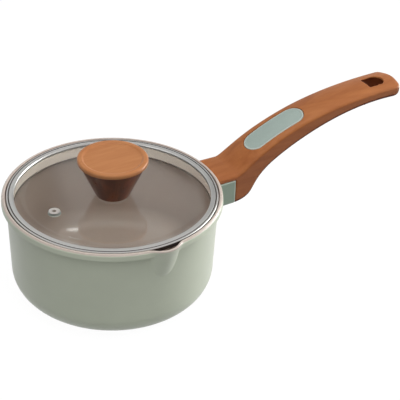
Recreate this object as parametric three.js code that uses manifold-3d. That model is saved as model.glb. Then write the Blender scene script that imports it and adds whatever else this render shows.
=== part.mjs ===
// Saucepan with a glass lid: a coated pan with one pouring spout, a long curved handle and a lid
// that lifts off. Millimetres, +Z up. The origin is the centre of the base, on the plane that the
// pan stands on. The handle points along +X and the spout along -Y.

import * as THREE from "three";
import { mergeVertices } from "three/addons/utils/BufferGeometryUtils.js";
import Module from "manifold-3d";

// ---- driving sizes ----------------------------------------------------------------------------

// pan
const PAN_HEIGHT = 82.2; // standing plane to the top of the lip
const BAND_RADIUS = 84.5; // outside of the rolled lip band
const BAND_PROUD = 3.8; // band over the wall under it
const WALL_TAPER = 2; // loss of radius from the band down to the bend into the base
const BEND_RADIUS = 20; // outside radius of the bend between wall and base
const WALL_THICKNESS = 2.7;
const FLOOR_THICKNESS = 4.2;
const BAND_HEIGHT = 5;
const BAND_UNDERCUT = 2.4; // height of the slope from the wall out to the band
const LIP_THICKNESS = 3.1; // metal between the band's outside and the lid's recess
const LIP_ROUND_OUT = 1.4;
const LIP_ROUND_IN = 0.8;
const SEAT_DEPTH = 4.5; // lip top down to the ledge that carries the lid

// pouring spout, an upside-down cone that leans into the wall
const SPOUT_SETBACK_TOP = 7.1; // top of the wall to the cone's axis at the lip
const SPOUT_SETBACK_LOW = 11.7; // the same at the foot of the spout
const SPOUT_RADIUS_TOP = 15.5;
const SPOUT_RADIUS_LOW = 11;
const SPOUT_DROP = 24; // lip to the foot of the spout
const SPOUT_WALL = 2.2;
const SPOUT_BLEND = 1.6; // softness of the edge where spout and wall meet
const SPOUT_DRAW = 0.98; // share of the way that the wall is drawn out to the cone

// induction disc, let into the base and a little proud of it
const DISC_MARGIN = 4.7; // level base left round the disc
const DISC_THICKNESS = 1.5;
const DISC_PROUD = 0.4;
const DISC_CLEARANCE = 0.3;

// lid
const RIM_CLEARANCE = 1.5; // round the lid, inside the lip
const RIM_STEEL = 0.5;
const RIM_TOP_WIDTH = 4.5; // rolled flange over the glass
const RIM_ROLL = 1.2; // height of that roll above the glass
const RIM_SKIRT_INSET = 4.6; // outside of the rim to outside of the skirt
const RIM_SKIRT_DROP = 8.6; // seat to the lower edge of the skirt
const RIM_SKIRT_CURL = 0.8; // width of the curled lower edge
const RIM_CORNER = 0.7;
const GLASS_THICKNESS = 3.1;
const GLASS_CLEARANCE = 0.2; // glass edge to the steel round it
const GLASS_EDGE = 0.6; // bevel of the glass edge
const FLANGE_CLEARANCE = 0.05; // glass face to the flange over it

// steam vent, an eyelet through the glass on the side away from the handle
const VENT_MARGIN = 29.2; // vent to the edge of the glass
const VENT_BEARING = 182; // direction of the vent in degrees, counted from the handle
const VENT_BORE_RADIUS = 1.5;
const VENT_BARREL_RADIUS = 2.5;
const VENT_FLANGE_RADIUS = 4.7;
const VENT_FLANGE_HEIGHT = 1;
const VENT_ROLL_RADIUS = 3.6; // rolled lower edge that holds the eyelet
const VENT_ROLL_HEIGHT = 0.9;
const VENT_WASHER_RADIUS = 5;
const VENT_WASHER_THICKNESS = 0.8;

// knob
const KNOB_HEIGHT = 31.7; // glass to the top
const KNOB_LIFT = 0.3; // gap under the cone, which stands on its gasket
const KNOB_BASE_RADIUS = 13;
const KNOB_NECK_RADIUS = 25.7; // top of the cone, under the disc
const KNOB_DISC_RADIUS = 26.9;
const KNOB_DISC_HEIGHT = 3.9;
const KNOB_EDGE_ROUND = 1.7;
const KNOB_RIM_WIDTH = 3.4; // raised border of the dished top
const KNOB_DISH_DEPTH = 0.9;
const KNOB_DISH_SLOPE = 1.8; // width of the slope from the border down into the dish
const INSERT_RADIUS = 4;
const INSERT_LENGTH = 12;
const INSERT_CLEARANCE = 0.1;
const GASKET_RADIUS = 11;
const GASKET_THICKNESS = 1;
const GASKET_CLEARANCE = 0.3; // round the gasket, in its recess under the knob
const LOWER_GASKET_RADIUS = 8;
const KNOB_WASHER_RADIUS = 7;
const KNOB_WASHER_THICKNESS = 1;
const KNOB_SCREW_GRIP = 9; // length of thread inside the insert

// screws, both M4
const SHANK_RADIUS = 2;
const THREAD_CLEARANCE = 0.15; // shank to the threads it is drawn in
const HOLE_CLEARANCE = 0.5; // shank to the plain holes it passes
const HEAD_RADIUS = 4.4;
const HEAD_HEIGHT = 2.8;
const CROSS_WIDTH = 1.1;
const CROSS_REACH = 2.3;
const CROSS_DEPTH = 1.6;

// handle, measured along +X from the pan wall and up from the top of its flat tongue
const HANDLE_REACH = 184; // wall to tip
const HANDLE_RISE = 40.4; // tongue to the top of the tip, at its edges
const FOLD_ALONG = 21.9; // soft crease between the flat tongue and the rising grip
const FOLD_ANGLE = 11.2;
const FOLD_PULL = 11.8; // how far the grip keeps the fold's direction
const TIP_ANGLE = -0.9;
const TIP_PULL = 120;
const TIP_THICKNESS = 9.8;
const TIP_UNDER_ANGLE = -0.2;
const TIP_UNDER_PULL = 12;
const ROOT_DEPTH = 26.1; // tongue top to the underside of the root
const ROOT_FLAT = 19.5; // level stretch of that underside
const ROOT_ANGLE = 4; // slope at the end of the level stretch
const ROOT_PULL = 25;
const ELBOW_ALONG = 60.2; // where the sweep of the elbow ends and the grip's underside begins
const ELBOW_RISE = 4;
const ELBOW_ANGLE = 27.5;
const ELBOW_PULL_IN = 35.2;
const ELBOW_PULL_OUT = 72.6;
const ROOT_WIDTH = 36;
const WAIST_WIDTH = 31.7;
const WAIST_ALONG = 79;
const TIP_WIDTH = 31.3;
const FULL_WIDTH_ALONG = 128; // from here on the grip has the tip's width
const TIP_ROUND = 7; // length over which the end is rounded in plan
const TIP_ROUNDNESS = 2.8; // 2 gives a half ellipse, more gives squarer corners
const TIP_EDGE_ROUND = 2.5; // rounding of the end face into the top
const TIP_UNDER_ROUND = 6; // rounding of the end face into the underside
const TOP_CROWN = 1.7; // rise of the middle of the top over its edges
const TOP_EDGE_ROUND = 2.6;
const UNDER_EDGE_ROUND = 3;
const CUT_GAP = 0.3; // between pieces that are cut to each other

// hanging hole, flat towards the pan and round towards the tip
const HOLE_WIDTH = 14;
const HOLE_LENGTH = 17.2;
const HOLE_MARGIN = 11.4; // hole to tip
const HOLE_CORNER = 0.7;
const RIB_TO_HOLE = 8.3; // moulded rib across the underside, before the hole
const RIB_RADIUS = 3;
const RIB_PROUD = 1.5;

// inlay, a pad with round ends let into the top of the grip
const INLAY_START = 40;
const INLAY_END = 91.9;
const INLAY_WIDTH = 20.4;
const INLAY_THICKNESS = 2;
const INLAY_SINK = 1.1;

// flame guard, a sleeve between the pan wall and the grip, under the tongue
const TONGUE_THICKNESS = 4.3;
const GUARD_LENGTH = 20.3;
const GUARD_WALL = 2.4;
const GUARD_END_WALL = 3;

// welded stud and the handle's screw
const STUD_RADIUS = 6;
const STUD_FLANGE_RADIUS = 7.2;
const STUD_FLANGE_HEIGHT = 2.5;
const STUD_THREAD_DEPTH = 12;
const HEAD_SEAT_ALONG = 29.3; // bottom of the counterbore
const COUNTERBORE_RADIUS = 5.2;
const FLAT_WASHER_RADIUS = 4.9;
const FLAT_WASHER_THICKNESS = 1;
const SPRING_WASHER_RADIUS = 4.2;
const SPRING_WASHER_THICKNESS = 1.2;
const SPRING_SPLIT = 0.8;
const HANDLE_SCREW_GRIP = 10; // length of thread inside the stud

// facets
const PAN_SEGMENTS = 64;
const SPOUT_CROWDING = 0.6; // share by which the pan's facets crowd towards the spout
const LID_SEGMENTS = 48;
const KNOB_SEGMENTS = 40;
const SMALL_SEGMENTS = 24;

// ---- derived sizes ----------------------------------------------------------------------------

const baseZ = DISC_PROUD;
const floorZ = baseZ + FLOOR_THICKNESS;
const bandBottomZ = PAN_HEIGHT - BAND_HEIGHT;
const undercutZ = bandBottomZ - BAND_UNDERCUT;
const seatZ = PAN_HEIGHT - SEAT_DEPTH;
const wallRadiusTop = BAND_RADIUS - BAND_PROUD;
const wallRadiusLow = wallRadiusTop - WALL_TAPER;
const recessRadius = BAND_RADIUS - LIP_THICKNESS;
const spoutFootZ = PAN_HEIGHT - SPOUT_DROP;
const spoutCentreTop = wallRadiusTop - SPOUT_SETBACK_TOP;
const spoutCentreLow = wallRadiusTop - SPOUT_SETBACK_LOW;
const discRadius = wallRadiusLow - BEND_RADIUS - DISC_MARGIN;

const rimRadius = recessRadius - RIM_CLEARANCE;
const glassRadius = rimRadius - RIM_STEEL - GLASS_CLEARANCE;
const ventOffset = glassRadius - VENT_MARGIN;
const boltHoleRadius = SHANK_RADIUS + HOLE_CLEARANCE;
const threadRadius = SHANK_RADIUS + THREAD_CLEARANCE;

const { PI, hypot, sin, cos, atan2, sqrt, max, min } = Math;
const radians = THREE.MathUtils.degToRad;

// ---- solids -----------------------------------------------------------------------------------

const wasm = await Module();
wasm.setup();

// A closed three.js geometry as a manifold solid, with its faces pointing out.
function solidOf(geometry) {
  const bare = geometry.clone();
  bare.deleteAttribute("normal");
  bare.deleteAttribute("uv");
  const merged = mergeVertices(bare);
  const index = merged.index.array;
  const triangles = [];
  for (let i = 0; i < index.length; i += 3) {
    const [a, b, c] = [index[i], index[i + 1], index[i + 2]];
    if (a !== b && b !== c && c !== a) triangles.push(a, b, c);
  }
  const build = (triVerts) =>
    new wasm.Manifold(
      new wasm.Mesh({
        numProp: 3,
        vertProperties: merged.attributes.position.array,
        triVerts: new Uint32Array(triVerts),
      }),
    );
  const solid = build(triangles);
  return solid.volume() > 0 ? solid : build(triangles.reverse());
}

function geometryOf(solid) {
  const mesh = solid.getMesh();
  const geometry = new THREE.BufferGeometry();
  geometry.setAttribute("position", new THREE.BufferAttribute(mesh.vertProperties, 3));
  geometry.setIndex(new THREE.BufferAttribute(mesh.triVerts, 1));
  geometry.computeVertexNormals();
  return geometry;
}

// A profile of [radius, height] points turned round the Z axis, starting from -Y.
function turned(profile, segments) {
  const points = profile.map(([r, z]) => new THREE.Vector2(r, z));
  return new THREE.LatheGeometry(points, segments).rotateX(PI / 2);
}

function ringSolid(innerRadius, outerRadius, bottom, top, segments = SMALL_SEGMENTS) {
  const profile = [
    [innerRadius, bottom],
    [outerRadius, bottom],
    [outerRadius, top],
    [innerRadius, top],
    [innerRadius, bottom],
  ];
  return solidOf(turned(profile, segments));
}

function rodSolid(radius, bottom, top, segments = SMALL_SEGMENTS) {
  const rod = new THREE.CylinderGeometry(radius, radius, top - bottom, segments);
  return solidOf(rod.rotateX(PI / 2).translate(0, 0, (top + bottom) / 2));
}

function boxSolid(low, high) {
  const size = low.map((value, axis) => high[axis] - value);
  const box = new THREE.BoxGeometry(...size);
  return solidOf(box.translate(...low.map((value, axis) => (value + high[axis]) / 2)));
}

// Points of a quarter turn about [r, z] from one angle to another, both ends included.
function arc(r, z, radius, fromDegrees, toDegrees, steps) {
  const points = [];
  for (let i = 0; i <= steps; i += 1) {
    const angle = radians(fromDegrees + ((toDegrees - fromDegrees) * i) / steps);
    points.push([r + radius * cos(angle), z + radius * sin(angle)]);
  }
  return points;
}

// Evenly spaced values, without the two ends.
function between(from, to, count) {
  return Array.from({ length: count }, (_, i) => from + ((to - from) * (i + 1)) / (count + 1));
}

function meshOf(name, solid, [color, roughness, metalness]) {
  const material = new THREE.MeshStandardMaterial({ color, roughness, metalness });
  const mesh = new THREE.Mesh(geometryOf(solid), material);
  mesh.name = name;
  return mesh;
}

const looks = {
  coating: [0xa3a995, 0.4, 0.1],
  steel: [0xb4b2af, 0.25, 1],
  aluminium: [0xa8a9ab, 0.4, 1],
  woodEffect: [0xb47854, 0.5, 0],
  guardGreen: [0x859684, 0.5, 0.1],
  inlayGreen: [0x9baaa5, 0.6, 0],
  glass: [0xd8dfdc, 0.05, 0],
  brass: [0xb99a52, 0.35, 1],
  silicone: [0xd9d8d2, 0.7, 0],
};

// ---- pan --------------------------------------------------------------------------------------

// Outside radius of the straight, slightly tapered wall at a height.
function wallRadiusAt(z) {
  const share = (z - baseZ - BEND_RADIUS) / (undercutZ - baseZ - BEND_RADIUS);
  return wallRadiusLow + WALL_TAPER * share;
}

// Radius of the spout's cone in a direction from the pan's axis, or 0 where the cone isn't met.
function spoutRadiusAt(angle, z) {
  const share = (PAN_HEIGHT - z) / SPOUT_DROP;
  const centre = spoutCentreTop + (spoutCentreLow - spoutCentreTop) * share;
  const radius = SPOUT_RADIUS_TOP + (SPOUT_RADIUS_LOW - SPOUT_RADIUS_TOP) * share;
  const reach = radius ** 2 - (centre * sin(angle)) ** 2;
  return cos(angle) > 0 && reach > 0 ? centre * cos(angle) + sqrt(reach) : 0;
}

// Zero below -SPOUT_BLEND, the value itself above SPOUT_BLEND, and a smooth curve between.
function softPositive(value) {
  if (value <= -SPOUT_BLEND) return 0;
  if (value >= SPOUT_BLEND) return value;
  return (value + SPOUT_BLEND) ** 2 / (4 * SPOUT_BLEND);
}

// Turns a pan profile, crowds its facets towards the spout and pushes them out to the spout's cone.
// spoutInset is how far this surface lies inside the cone at a height.
function panSolid(profile, spoutInset) {
  const geometry = turned(profile, PAN_SEGMENTS);
  const position = geometry.attributes.position;
  for (let i = 0; i < position.count; i += 1) {
    const [x, y, z] = [position.getX(i), position.getY(i), position.getZ(i)];
    const radius = hypot(x, y);
    const even = atan2(x, -y);
    const angle = even - SPOUT_CROWDING * sin(even);
    const cone = spoutRadiusAt(angle, z) - spoutInset(z);
    const onWall = z > spoutFootZ && radius > spoutCentreLow;
    const pushed = onWall ? radius + SPOUT_DRAW * softPositive(cone - radius) : radius;
    position.setXYZ(i, pushed * sin(angle), -pushed * cos(angle), z);
  }
  return solidOf(geometry);
}

const spoutRows = between(spoutFootZ - 2, undercutZ, 4);

// How far the outside of the rounded lip lies in from the band, at a height.
function lipInset(z) {
  const up = z - (PAN_HEIGHT - LIP_ROUND_OUT);
  return up > 0 ? LIP_ROUND_OUT - sqrt(max(0, LIP_ROUND_OUT ** 2 - up ** 2)) : 0;
}

// The outside of the pan as a full solid, or grown by a gap for the pieces that are cut to it.
function panOutside(gap = 0) {
  const lipCentre = BAND_RADIUS - LIP_ROUND_OUT;
  const bend = arc(wallRadiusLow - BEND_RADIUS, baseZ + BEND_RADIUS, BEND_RADIUS, -90, 0, 4);
  const wall = spoutRows.map((z) => [wallRadiusAt(z), z]);
  const lip = arc(lipCentre, PAN_HEIGHT - LIP_ROUND_OUT, LIP_ROUND_OUT, 0, 90, 3);
  const profile = [
    ...bend,
    ...wall,
    [wallRadiusTop, undercutZ],
    [BAND_RADIUS - 0.4, bandBottomZ - 0.3],
    [BAND_RADIUS, bandBottomZ + 0.4],
    ...lip,
  ];
  const grown = profile.map(([r, z]) => [r + gap, z]);
  return panSolid([[0, baseZ], ...grown, [0, PAN_HEIGHT]], lipInset);
}

function panCavity() {
  const innerBend = BEND_RADIUS - WALL_THICKNESS;
  const lowRadius = wallRadiusLow - WALL_THICKNESS;
  const topRadius = wallRadiusAt(seatZ) - WALL_THICKNESS;
  const above = PAN_HEIGHT + 1;
  const bend = arc(lowRadius - innerBend, floorZ + innerBend, innerBend, -90, 0, 4);
  const wall = spoutRows.map((z) => [wallRadiusAt(z) - WALL_THICKNESS, z]);
  const mouth = arc(recessRadius + LIP_ROUND_IN, PAN_HEIGHT - LIP_ROUND_IN, LIP_ROUND_IN, 180, 90, 2);
  const profile = [
    [0, floorZ],
    ...bend,
    ...wall,
    [topRadius, seatZ],
    [recessRadius, seatZ],
    ...mouth,
    [recessRadius + LIP_ROUND_IN, above],
    [0, above],
  ];
  return panSolid(profile, () => SPOUT_WALL);
}

function panBody() {
  const discRecess = rodSolid(discRadius + DISC_CLEARANCE, baseZ - 1, DISC_THICKNESS, PAN_SEGMENTS);
  return panOutside().subtract(panCavity()).subtract(discRecess);
}

function inductionDisc() {
  const edge = 0.3;
  const profile = [
    [0, 0],
    [discRadius - edge, 0],
    [discRadius, edge],
    [discRadius, DISC_THICKNESS],
    [0, DISC_THICKNESS],
  ];
  return solidOf(turned(profile, PAN_SEGMENTS));
}

// ---- lid, in a frame whose z = 0 is the ledge it rests on ---------------------------------------

const glassUnderZ = RIM_STEEL;
const glassTopZ = glassUnderZ + GLASS_THICKNESS;
const rimTopZ = glassTopZ + RIM_ROLL;

// One bent strip of steel: rolled flange over the glass, wall, flange under the glass, and the skirt.
function lidRim() {
  const inside = rimRadius - RIM_STEEL;
  const skirt = rimRadius - RIM_SKIRT_INSET;
  const skirtInside = skirt - RIM_STEEL;
  const curlInside = skirtInside - RIM_SKIRT_CURL;
  const flangeEdge = rimRadius - RIM_TOP_WIDTH;
  const onGlass = glassTopZ + FLANGE_CLEARANCE;
  const shoulder = RIM_ROLL + RIM_STEEL; // radius of the roll's outer bend
  const profile = [
    [flangeEdge, onGlass],
    [flangeEdge, onGlass + 0.6 * RIM_STEEL],
    [flangeEdge + 0.4 * RIM_ROLL, rimTopZ - 0.2 * RIM_ROLL],
    [flangeEdge + RIM_ROLL, rimTopZ],
    ...arc(rimRadius - shoulder, rimTopZ - shoulder, shoulder, 90, 0, 3),
    [rimRadius, RIM_CORNER],
    [rimRadius - RIM_CORNER, 0],
    [skirt, 0],
    [skirt, RIM_SKIRT_CURL - RIM_SKIRT_DROP],
    [skirt - RIM_SKIRT_CURL / 2, -RIM_SKIRT_DROP],
    [curlInside, -RIM_SKIRT_DROP],
    [curlInside, RIM_STEEL - RIM_SKIRT_DROP],
    [skirtInside, RIM_SKIRT_CURL - RIM_SKIRT_DROP],
    [skirtInside, glassUnderZ],
    [inside, glassUnderZ],
    ...arc(rimRadius - shoulder, rimTopZ - shoulder, RIM_ROLL, 0, 90, 2),
    [flangeEdge + RIM_ROLL, rimTopZ - RIM_STEEL],
    [flangeEdge, onGlass],
  ];
  return solidOf(turned(profile, LID_SEGMENTS));
}

const ventX = ventOffset * cos(radians(VENT_BEARING));
const ventY = ventOffset * sin(radians(VENT_BEARING));

function lidGlass() {
  const profile = [
    [0, glassUnderZ],
    [glassRadius - GLASS_EDGE, glassUnderZ],
    [glassRadius, glassUnderZ + GLASS_EDGE],
    [glassRadius, glassTopZ - GLASS_EDGE],
    [glassRadius - GLASS_EDGE, glassTopZ],
    [0, glassTopZ],
  ];
  const knobHole = rodSolid(boltHoleRadius, 0, rimTopZ);
  const ventHole = rodSolid(VENT_BARREL_RADIUS + CUT_GAP, 0, rimTopZ);
  return solidOf(turned(profile, LID_SEGMENTS))
    .subtract(knobHole)
    .subtract(ventHole.translate([ventX, ventY, 0]));
}

// The eyelet and its washer have z = 0 on the glass's upper face.
const ventUnderZ = -GLASS_THICKNESS;
const ventWasherZ = ventUnderZ - VENT_WASHER_THICKNESS;

function ventEyelet() {
  const top = VENT_FLANGE_HEIGHT;
  const rollTop = ventWasherZ - 0.05;
  const rollBottom = rollTop - VENT_ROLL_HEIGHT;
  const profile = [
    [VENT_BORE_RADIUS, rollBottom],
    [VENT_ROLL_RADIUS - 0.4, rollBottom],
    [VENT_ROLL_RADIUS, rollBottom + 0.4],
    [VENT_ROLL_RADIUS, rollTop],
    [VENT_BARREL_RADIUS, rollTop],
    [VENT_BARREL_RADIUS, 0],
    [VENT_FLANGE_RADIUS - 0.2, 0],
    [VENT_FLANGE_RADIUS, 0.3],
    [VENT_FLANGE_RADIUS - 0.7, top - 0.2],
    [VENT_BARREL_RADIUS + 0.3, top],
    [VENT_BORE_RADIUS + 0.4, top - 0.1],
    [VENT_BORE_RADIUS, top - 0.5],
    [VENT_BORE_RADIUS, rollBottom],
  ];
  return solidOf(turned(profile, SMALL_SEGMENTS));
}

function ventWasher() {
  const bore = VENT_BARREL_RADIUS + 0.1;
  return ringSolid(bore, VENT_WASHER_RADIUS, ventWasherZ, ventUnderZ);
}

// ---- knob, in a frame whose z = 0 is the top of the glass at the lid's centre -------------------

const lowerGasketZ = -GLASS_THICKNESS - GASKET_THICKNESS;
const knobWasherZ = lowerGasketZ - KNOB_WASHER_THICKNESS;

function knob() {
  const discUnder = KNOB_HEIGHT - KNOB_DISC_HEIGHT;
  const dishRadius = KNOB_DISC_RADIUS - KNOB_RIM_WIDTH;
  const edgeCentre = KNOB_DISC_RADIUS - KNOB_EDGE_ROUND;
  const bore = INSERT_RADIUS + INSERT_CLEARANCE;
  const boreTop = GASKET_THICKNESS + INSERT_LENGTH + INSERT_CLEARANCE;
  const recess = GASKET_RADIUS + GASKET_CLEARANCE;
  const profile = [
    [0, boreTop],
    [bore, boreTop],
    [bore, GASKET_THICKNESS],
    [recess, GASKET_THICKNESS],
    [recess, KNOB_LIFT],
    [KNOB_BASE_RADIUS - 0.4, KNOB_LIFT],
    [KNOB_BASE_RADIUS, KNOB_LIFT + 0.6],
    [KNOB_NECK_RADIUS, discUnder],
    [KNOB_DISC_RADIUS - 0.3, discUnder + 0.2],
    [KNOB_DISC_RADIUS, discUnder + 0.9],
    ...arc(edgeCentre, KNOB_HEIGHT - KNOB_EDGE_ROUND, KNOB_EDGE_ROUND, 0, 90, 3),
    [dishRadius, KNOB_HEIGHT],
    [dishRadius - KNOB_DISH_SLOPE, KNOB_HEIGHT - KNOB_DISH_DEPTH],
    [0, KNOB_HEIGHT - KNOB_DISH_DEPTH],
  ];
  return solidOf(turned(profile, KNOB_SEGMENTS));
}

// A pan-head screw along +Z: the head lies below z = 0 and the shank above it.
function panHeadScrew(length) {
  const crown = 0.9;
  const tip = 0.6;
  const profile = [
    [0, -HEAD_HEIGHT],
    [HEAD_RADIUS - 1.4, -HEAD_HEIGHT + 0.1],
    [HEAD_RADIUS - 0.3, crown - HEAD_HEIGHT],
    [HEAD_RADIUS, -0.5],
    [HEAD_RADIUS, 0],
    [SHANK_RADIUS, 0],
    [SHANK_RADIUS, length - tip],
    [SHANK_RADIUS - tip, length],
    [0, length],
  ];
  const deep = CROSS_DEPTH - HEAD_HEIGHT;
  const across = [CROSS_REACH, CROSS_WIDTH / 2];
  const slotX = boxSolid([-across[0], -across[1], -HEAD_HEIGHT - 1], [across[0], across[1], deep]);
  const slotY = slotX.rotate([0, 0, 90]);
  return solidOf(turned(profile, SMALL_SEGMENTS)).subtract(slotX.add(slotY));
}

// ---- handle, in a frame at the pan wall and on top of the tongue --------------------------------

// A cubic curve from one point to another that leaves and arrives at set angles.
function bend(from, fromAngle, fromPull, to, toAngle, toPull) {
  const out = radians(fromAngle);
  const back = radians(toAngle);
  return new THREE.CubicBezierCurve(
    new THREE.Vector2(...from),
    new THREE.Vector2(from[0] + fromPull * cos(out), from[1] + fromPull * sin(out)),
    new THREE.Vector2(to[0] - toPull * cos(back), to[1] - toPull * sin(back)),
    new THREE.Vector2(...to),
  );
}

const rootBurial = 8; // the handle is drawn this far into the pan before it is cut to the wall
const tip = [HANDLE_REACH, HANDLE_RISE];
const tipUnder = [HANDLE_REACH, HANDLE_RISE - TIP_THICKNESS];
const elbow = [ELBOW_ALONG, ELBOW_RISE];
const rootUnder = [ROOT_FLAT, -ROOT_DEPTH];

const topLine = new THREE.CurvePath();
topLine.add(new THREE.LineCurve(new THREE.Vector2(-rootBurial, 0), new THREE.Vector2(FOLD_ALONG, 0)));
topLine.add(bend([FOLD_ALONG, 0], FOLD_ANGLE, FOLD_PULL, tip, TIP_ANGLE, TIP_PULL));

const underLine = new THREE.CurvePath();
underLine.add(
  new THREE.LineCurve(new THREE.Vector2(-rootBurial, -ROOT_DEPTH), new THREE.Vector2(...rootUnder)),
);
underLine.add(bend(rootUnder, ROOT_ANGLE, ROOT_PULL, elbow, ELBOW_ANGLE, ELBOW_PULL_IN));
underLine.add(bend(elbow, ELBOW_ANGLE, ELBOW_PULL_OUT, tipUnder, TIP_UNDER_ANGLE, TIP_UNDER_PULL));

// Height of a line that always runs outwards, at a distance along the handle.
function heightOn(line) {
  const points = line.getPoints(60);
  return (along) => {
    const next = max(1, points.findIndex((p) => p.x >= along));
    const [a, b] = [points[next - 1], points[next]];
    return a.y + ((b.y - a.y) * (along - a.x)) / (b.x - a.x);
  };
}

const topAt = heightOn(topLine);
const underAt = heightOn(underLine);

// Half of the grip's width: it narrows to a waist, widens again and is rounded at the end.
function halfWidthAt(along) {
  const toWaist = THREE.MathUtils.smoothstep(along, 0, WAIST_ALONG);
  const toTip = THREE.MathUtils.smoothstep(along, WAIST_ALONG, FULL_WIDTH_ALONG);
  const width =
    ROOT_WIDTH + (WAIST_WIDTH - ROOT_WIDTH) * toWaist + (TIP_WIDTH - WAIST_WIDTH) * toTip;
  const intoEnd = max(0, (along - HANDLE_REACH + TIP_ROUND) / TIP_ROUND);
  return (width / 2) * (1 - intoEnd ** TIP_ROUNDNESS) ** (1 / TIP_ROUNDNESS);
}

// How far a rounding of the end face has drawn in the top or the underside.
function endInset(along, round) {
  const into = max(0, along - HANDLE_REACH + round);
  return round - sqrt(round ** 2 - into ** 2);
}

// Rise of the middle of the top: none at the pan, all of it from the inlay on.
function crownAt(along) {
  return TOP_CROWN * THREE.MathUtils.smoothstep(along, 0, INLAY_START);
}

// One cross-section of the grip, as points round the outline: a rectangle with rounded corners and
// a crowned top.
function gripSection(along) {
  const half = halfWidthAt(along);
  const top = topAt(along) - endInset(along, TIP_EDGE_ROUND);
  const under = underAt(along) + endInset(along, TIP_UNDER_ROUND);
  const fit = (round) => min(round, half * 0.8, (top - under) * 0.4);
  const [upper, lower] = [fit(TOP_EDGE_ROUND), fit(UNDER_EDGE_ROUND)];
  const flat = half - upper;
  const steps = 3;
  const crown = between(flat, -flat, 3).map((y) => [y, top + crownAt(along) * (1 - (y / flat) ** 2)]);
  const outline = [
    ...arc(flat, top - upper, upper, 0, 90, steps),
    ...crown,
    ...arc(-flat, top - upper, upper, 90, 180, steps),
    ...arc(lower - half, under + lower, lower, 180, 270, steps),
    ...arc(half - lower, under + lower, lower, 270, 360, steps),
  ];
  return outline.map(([y, z]) => new THREE.Vector3(along, y, z));
}

// A closed solid through a row of outlines with equal numbers of points.
function loft(sections) {
  const count = sections[0].length;
  const points = sections.flat();
  const index = [];
  for (let s = 0; s + 1 < sections.length; s += 1) {
    for (let i = 0; i < count; i += 1) {
      const [a, b] = [s * count + i, s * count + ((i + 1) % count)];
      index.push(a, b, a + count, b, b + count, a + count);
    }
  }
  const last = points.length - count;
  for (let i = 1; i + 1 < count; i += 1) {
    index.push(0, i + 1, i, last, last + i, last + i + 1);
  }
  const geometry = new THREE.BufferGeometry().setFromPoints(points);
  geometry.setIndex(index);
  return solidOf(geometry);
}

function handleForm() {
  const endStart = HANDLE_REACH - TIP_ROUND;
  const stations = [
    -rootBurial,
    FOLD_ALONG,
    ...between(FOLD_ALONG, ELBOW_ALONG, 9),
    ELBOW_ALONG,
    ...between(ELBOW_ALONG, endStart, 11),
    ...[0, 0.35, 0.6, 0.8, 0.92, 0.98].map((share) => endStart + TIP_ROUND * share),
  ];
  return loft(stations.map(gripSection));
}

// A side profile given as [along, up] points, extruded across the whole width of the handle.
function acrossHandle(points) {
  const shape = new THREE.Shape(points.map(([along, up]) => new THREE.Vector2(along, up)));
  const plate = new THREE.ExtrudeGeometry(shape, { depth: 2 * ROOT_WIDTH, bevelEnabled: false });
  return solidOf(plate.rotateX(PI / 2).translate(0, ROOT_WIDTH, 0));
}

// The layer of the grip between two depths under the middle of its top, along the inlay.
function topLayer(upperDepth, lowerDepth) {
  const reach = INLAY_WIDTH / 4;
  const stations = [
    INLAY_START - reach,
    ...between(INLAY_START - reach, INLAY_END + reach, 9),
    INLAY_END + reach,
  ];
  const upper = stations.map((along) => [along, topAt(along) + TOP_CROWN - upperDepth]);
  const lower = stations.map((along) => [along, topAt(along) + TOP_CROWN - lowerDepth]);
  return acrossHandle([...upper, ...lower.reverse()]);
}

// A bar with round ends that stands square to the inlay's slope.
function inlayPrism(grow) {
  const rise = topAt(INLAY_END) - topAt(INLAY_START);
  const tilt = atan2(rise, INLAY_END - INLAY_START);
  const radius = INLAY_WIDTH / 2 + grow;
  const straight = hypot(rise, INLAY_END - INLAY_START) / 2 - INLAY_WIDTH / 2;
  const shape = new THREE.Shape();
  shape.absarc(straight, 0, radius, -PI / 2, PI / 2);
  shape.absarc(-straight, 0, radius, PI / 2, (3 * PI) / 2);
  const height = 2 * ROOT_WIDTH;
  const bar = new THREE.ExtrudeGeometry(shape, { depth: height, bevelEnabled: false });
  bar.translate(0, 0, -height / 2).rotateY(-tilt);
  const middle = (INLAY_START + INLAY_END) / 2;
  return solidOf(bar.translate(middle, 0, (topAt(INLAY_START) + topAt(INLAY_END)) / 2));
}

function hangingHole() {
  const end = HANDLE_REACH - HOLE_MARGIN;
  const start = end - HOLE_LENGTH;
  const radius = HOLE_WIDTH / 2;
  const shape = new THREE.Shape();
  shape.absarc(end - radius, 0, radius, -PI / 2, PI / 2);
  shape.absarc(start + HOLE_CORNER, radius - HOLE_CORNER, HOLE_CORNER, PI / 2, PI);
  shape.absarc(start + HOLE_CORNER, HOLE_CORNER - radius, HOLE_CORNER, PI, (3 * PI) / 2);
  const depth = HANDLE_RISE + ROOT_DEPTH;
  const options = { depth, bevelEnabled: false, curveSegments: 6 };
  return solidOf(new THREE.ExtrudeGeometry(shape, options).translate(0, 0, HANDLE_RISE - depth / 2));
}

// A low rib across the underside, between the grip and the hanging hole.
function undersideRib() {
  const along = HANDLE_REACH - HOLE_MARGIN - HOLE_LENGTH - RIB_TO_HOLE;
  const length = 2 * halfWidthAt(along) - 2 * UNDER_EDGE_ROUND;
  const rib = new THREE.CylinderGeometry(RIB_RADIUS, RIB_RADIUS, length, 16);
  return solidOf(rib.translate(along, 0, underAt(along) + RIB_RADIUS - RIB_PROUD));
}

const screwUp = -(TONGUE_THICKNESS + ROOT_DEPTH) / 2; // the screw runs through the guard's middle
const guardTop = -TONGUE_THICKNESS;
const screwRun = HEAD_SEAT_ALONG + ROOT_DEPTH; // from the pan wall to past the elbow's underside

// Turns a solid made along +Z so that it runs along +X (or along -X) from a point on the screw's axis.
function onScrewAxis(solid, along, outwards = true) {
  return solid.rotate([0, outwards ? 90 : -90, 0]).translate([along, 0, screwUp]);
}

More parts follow.
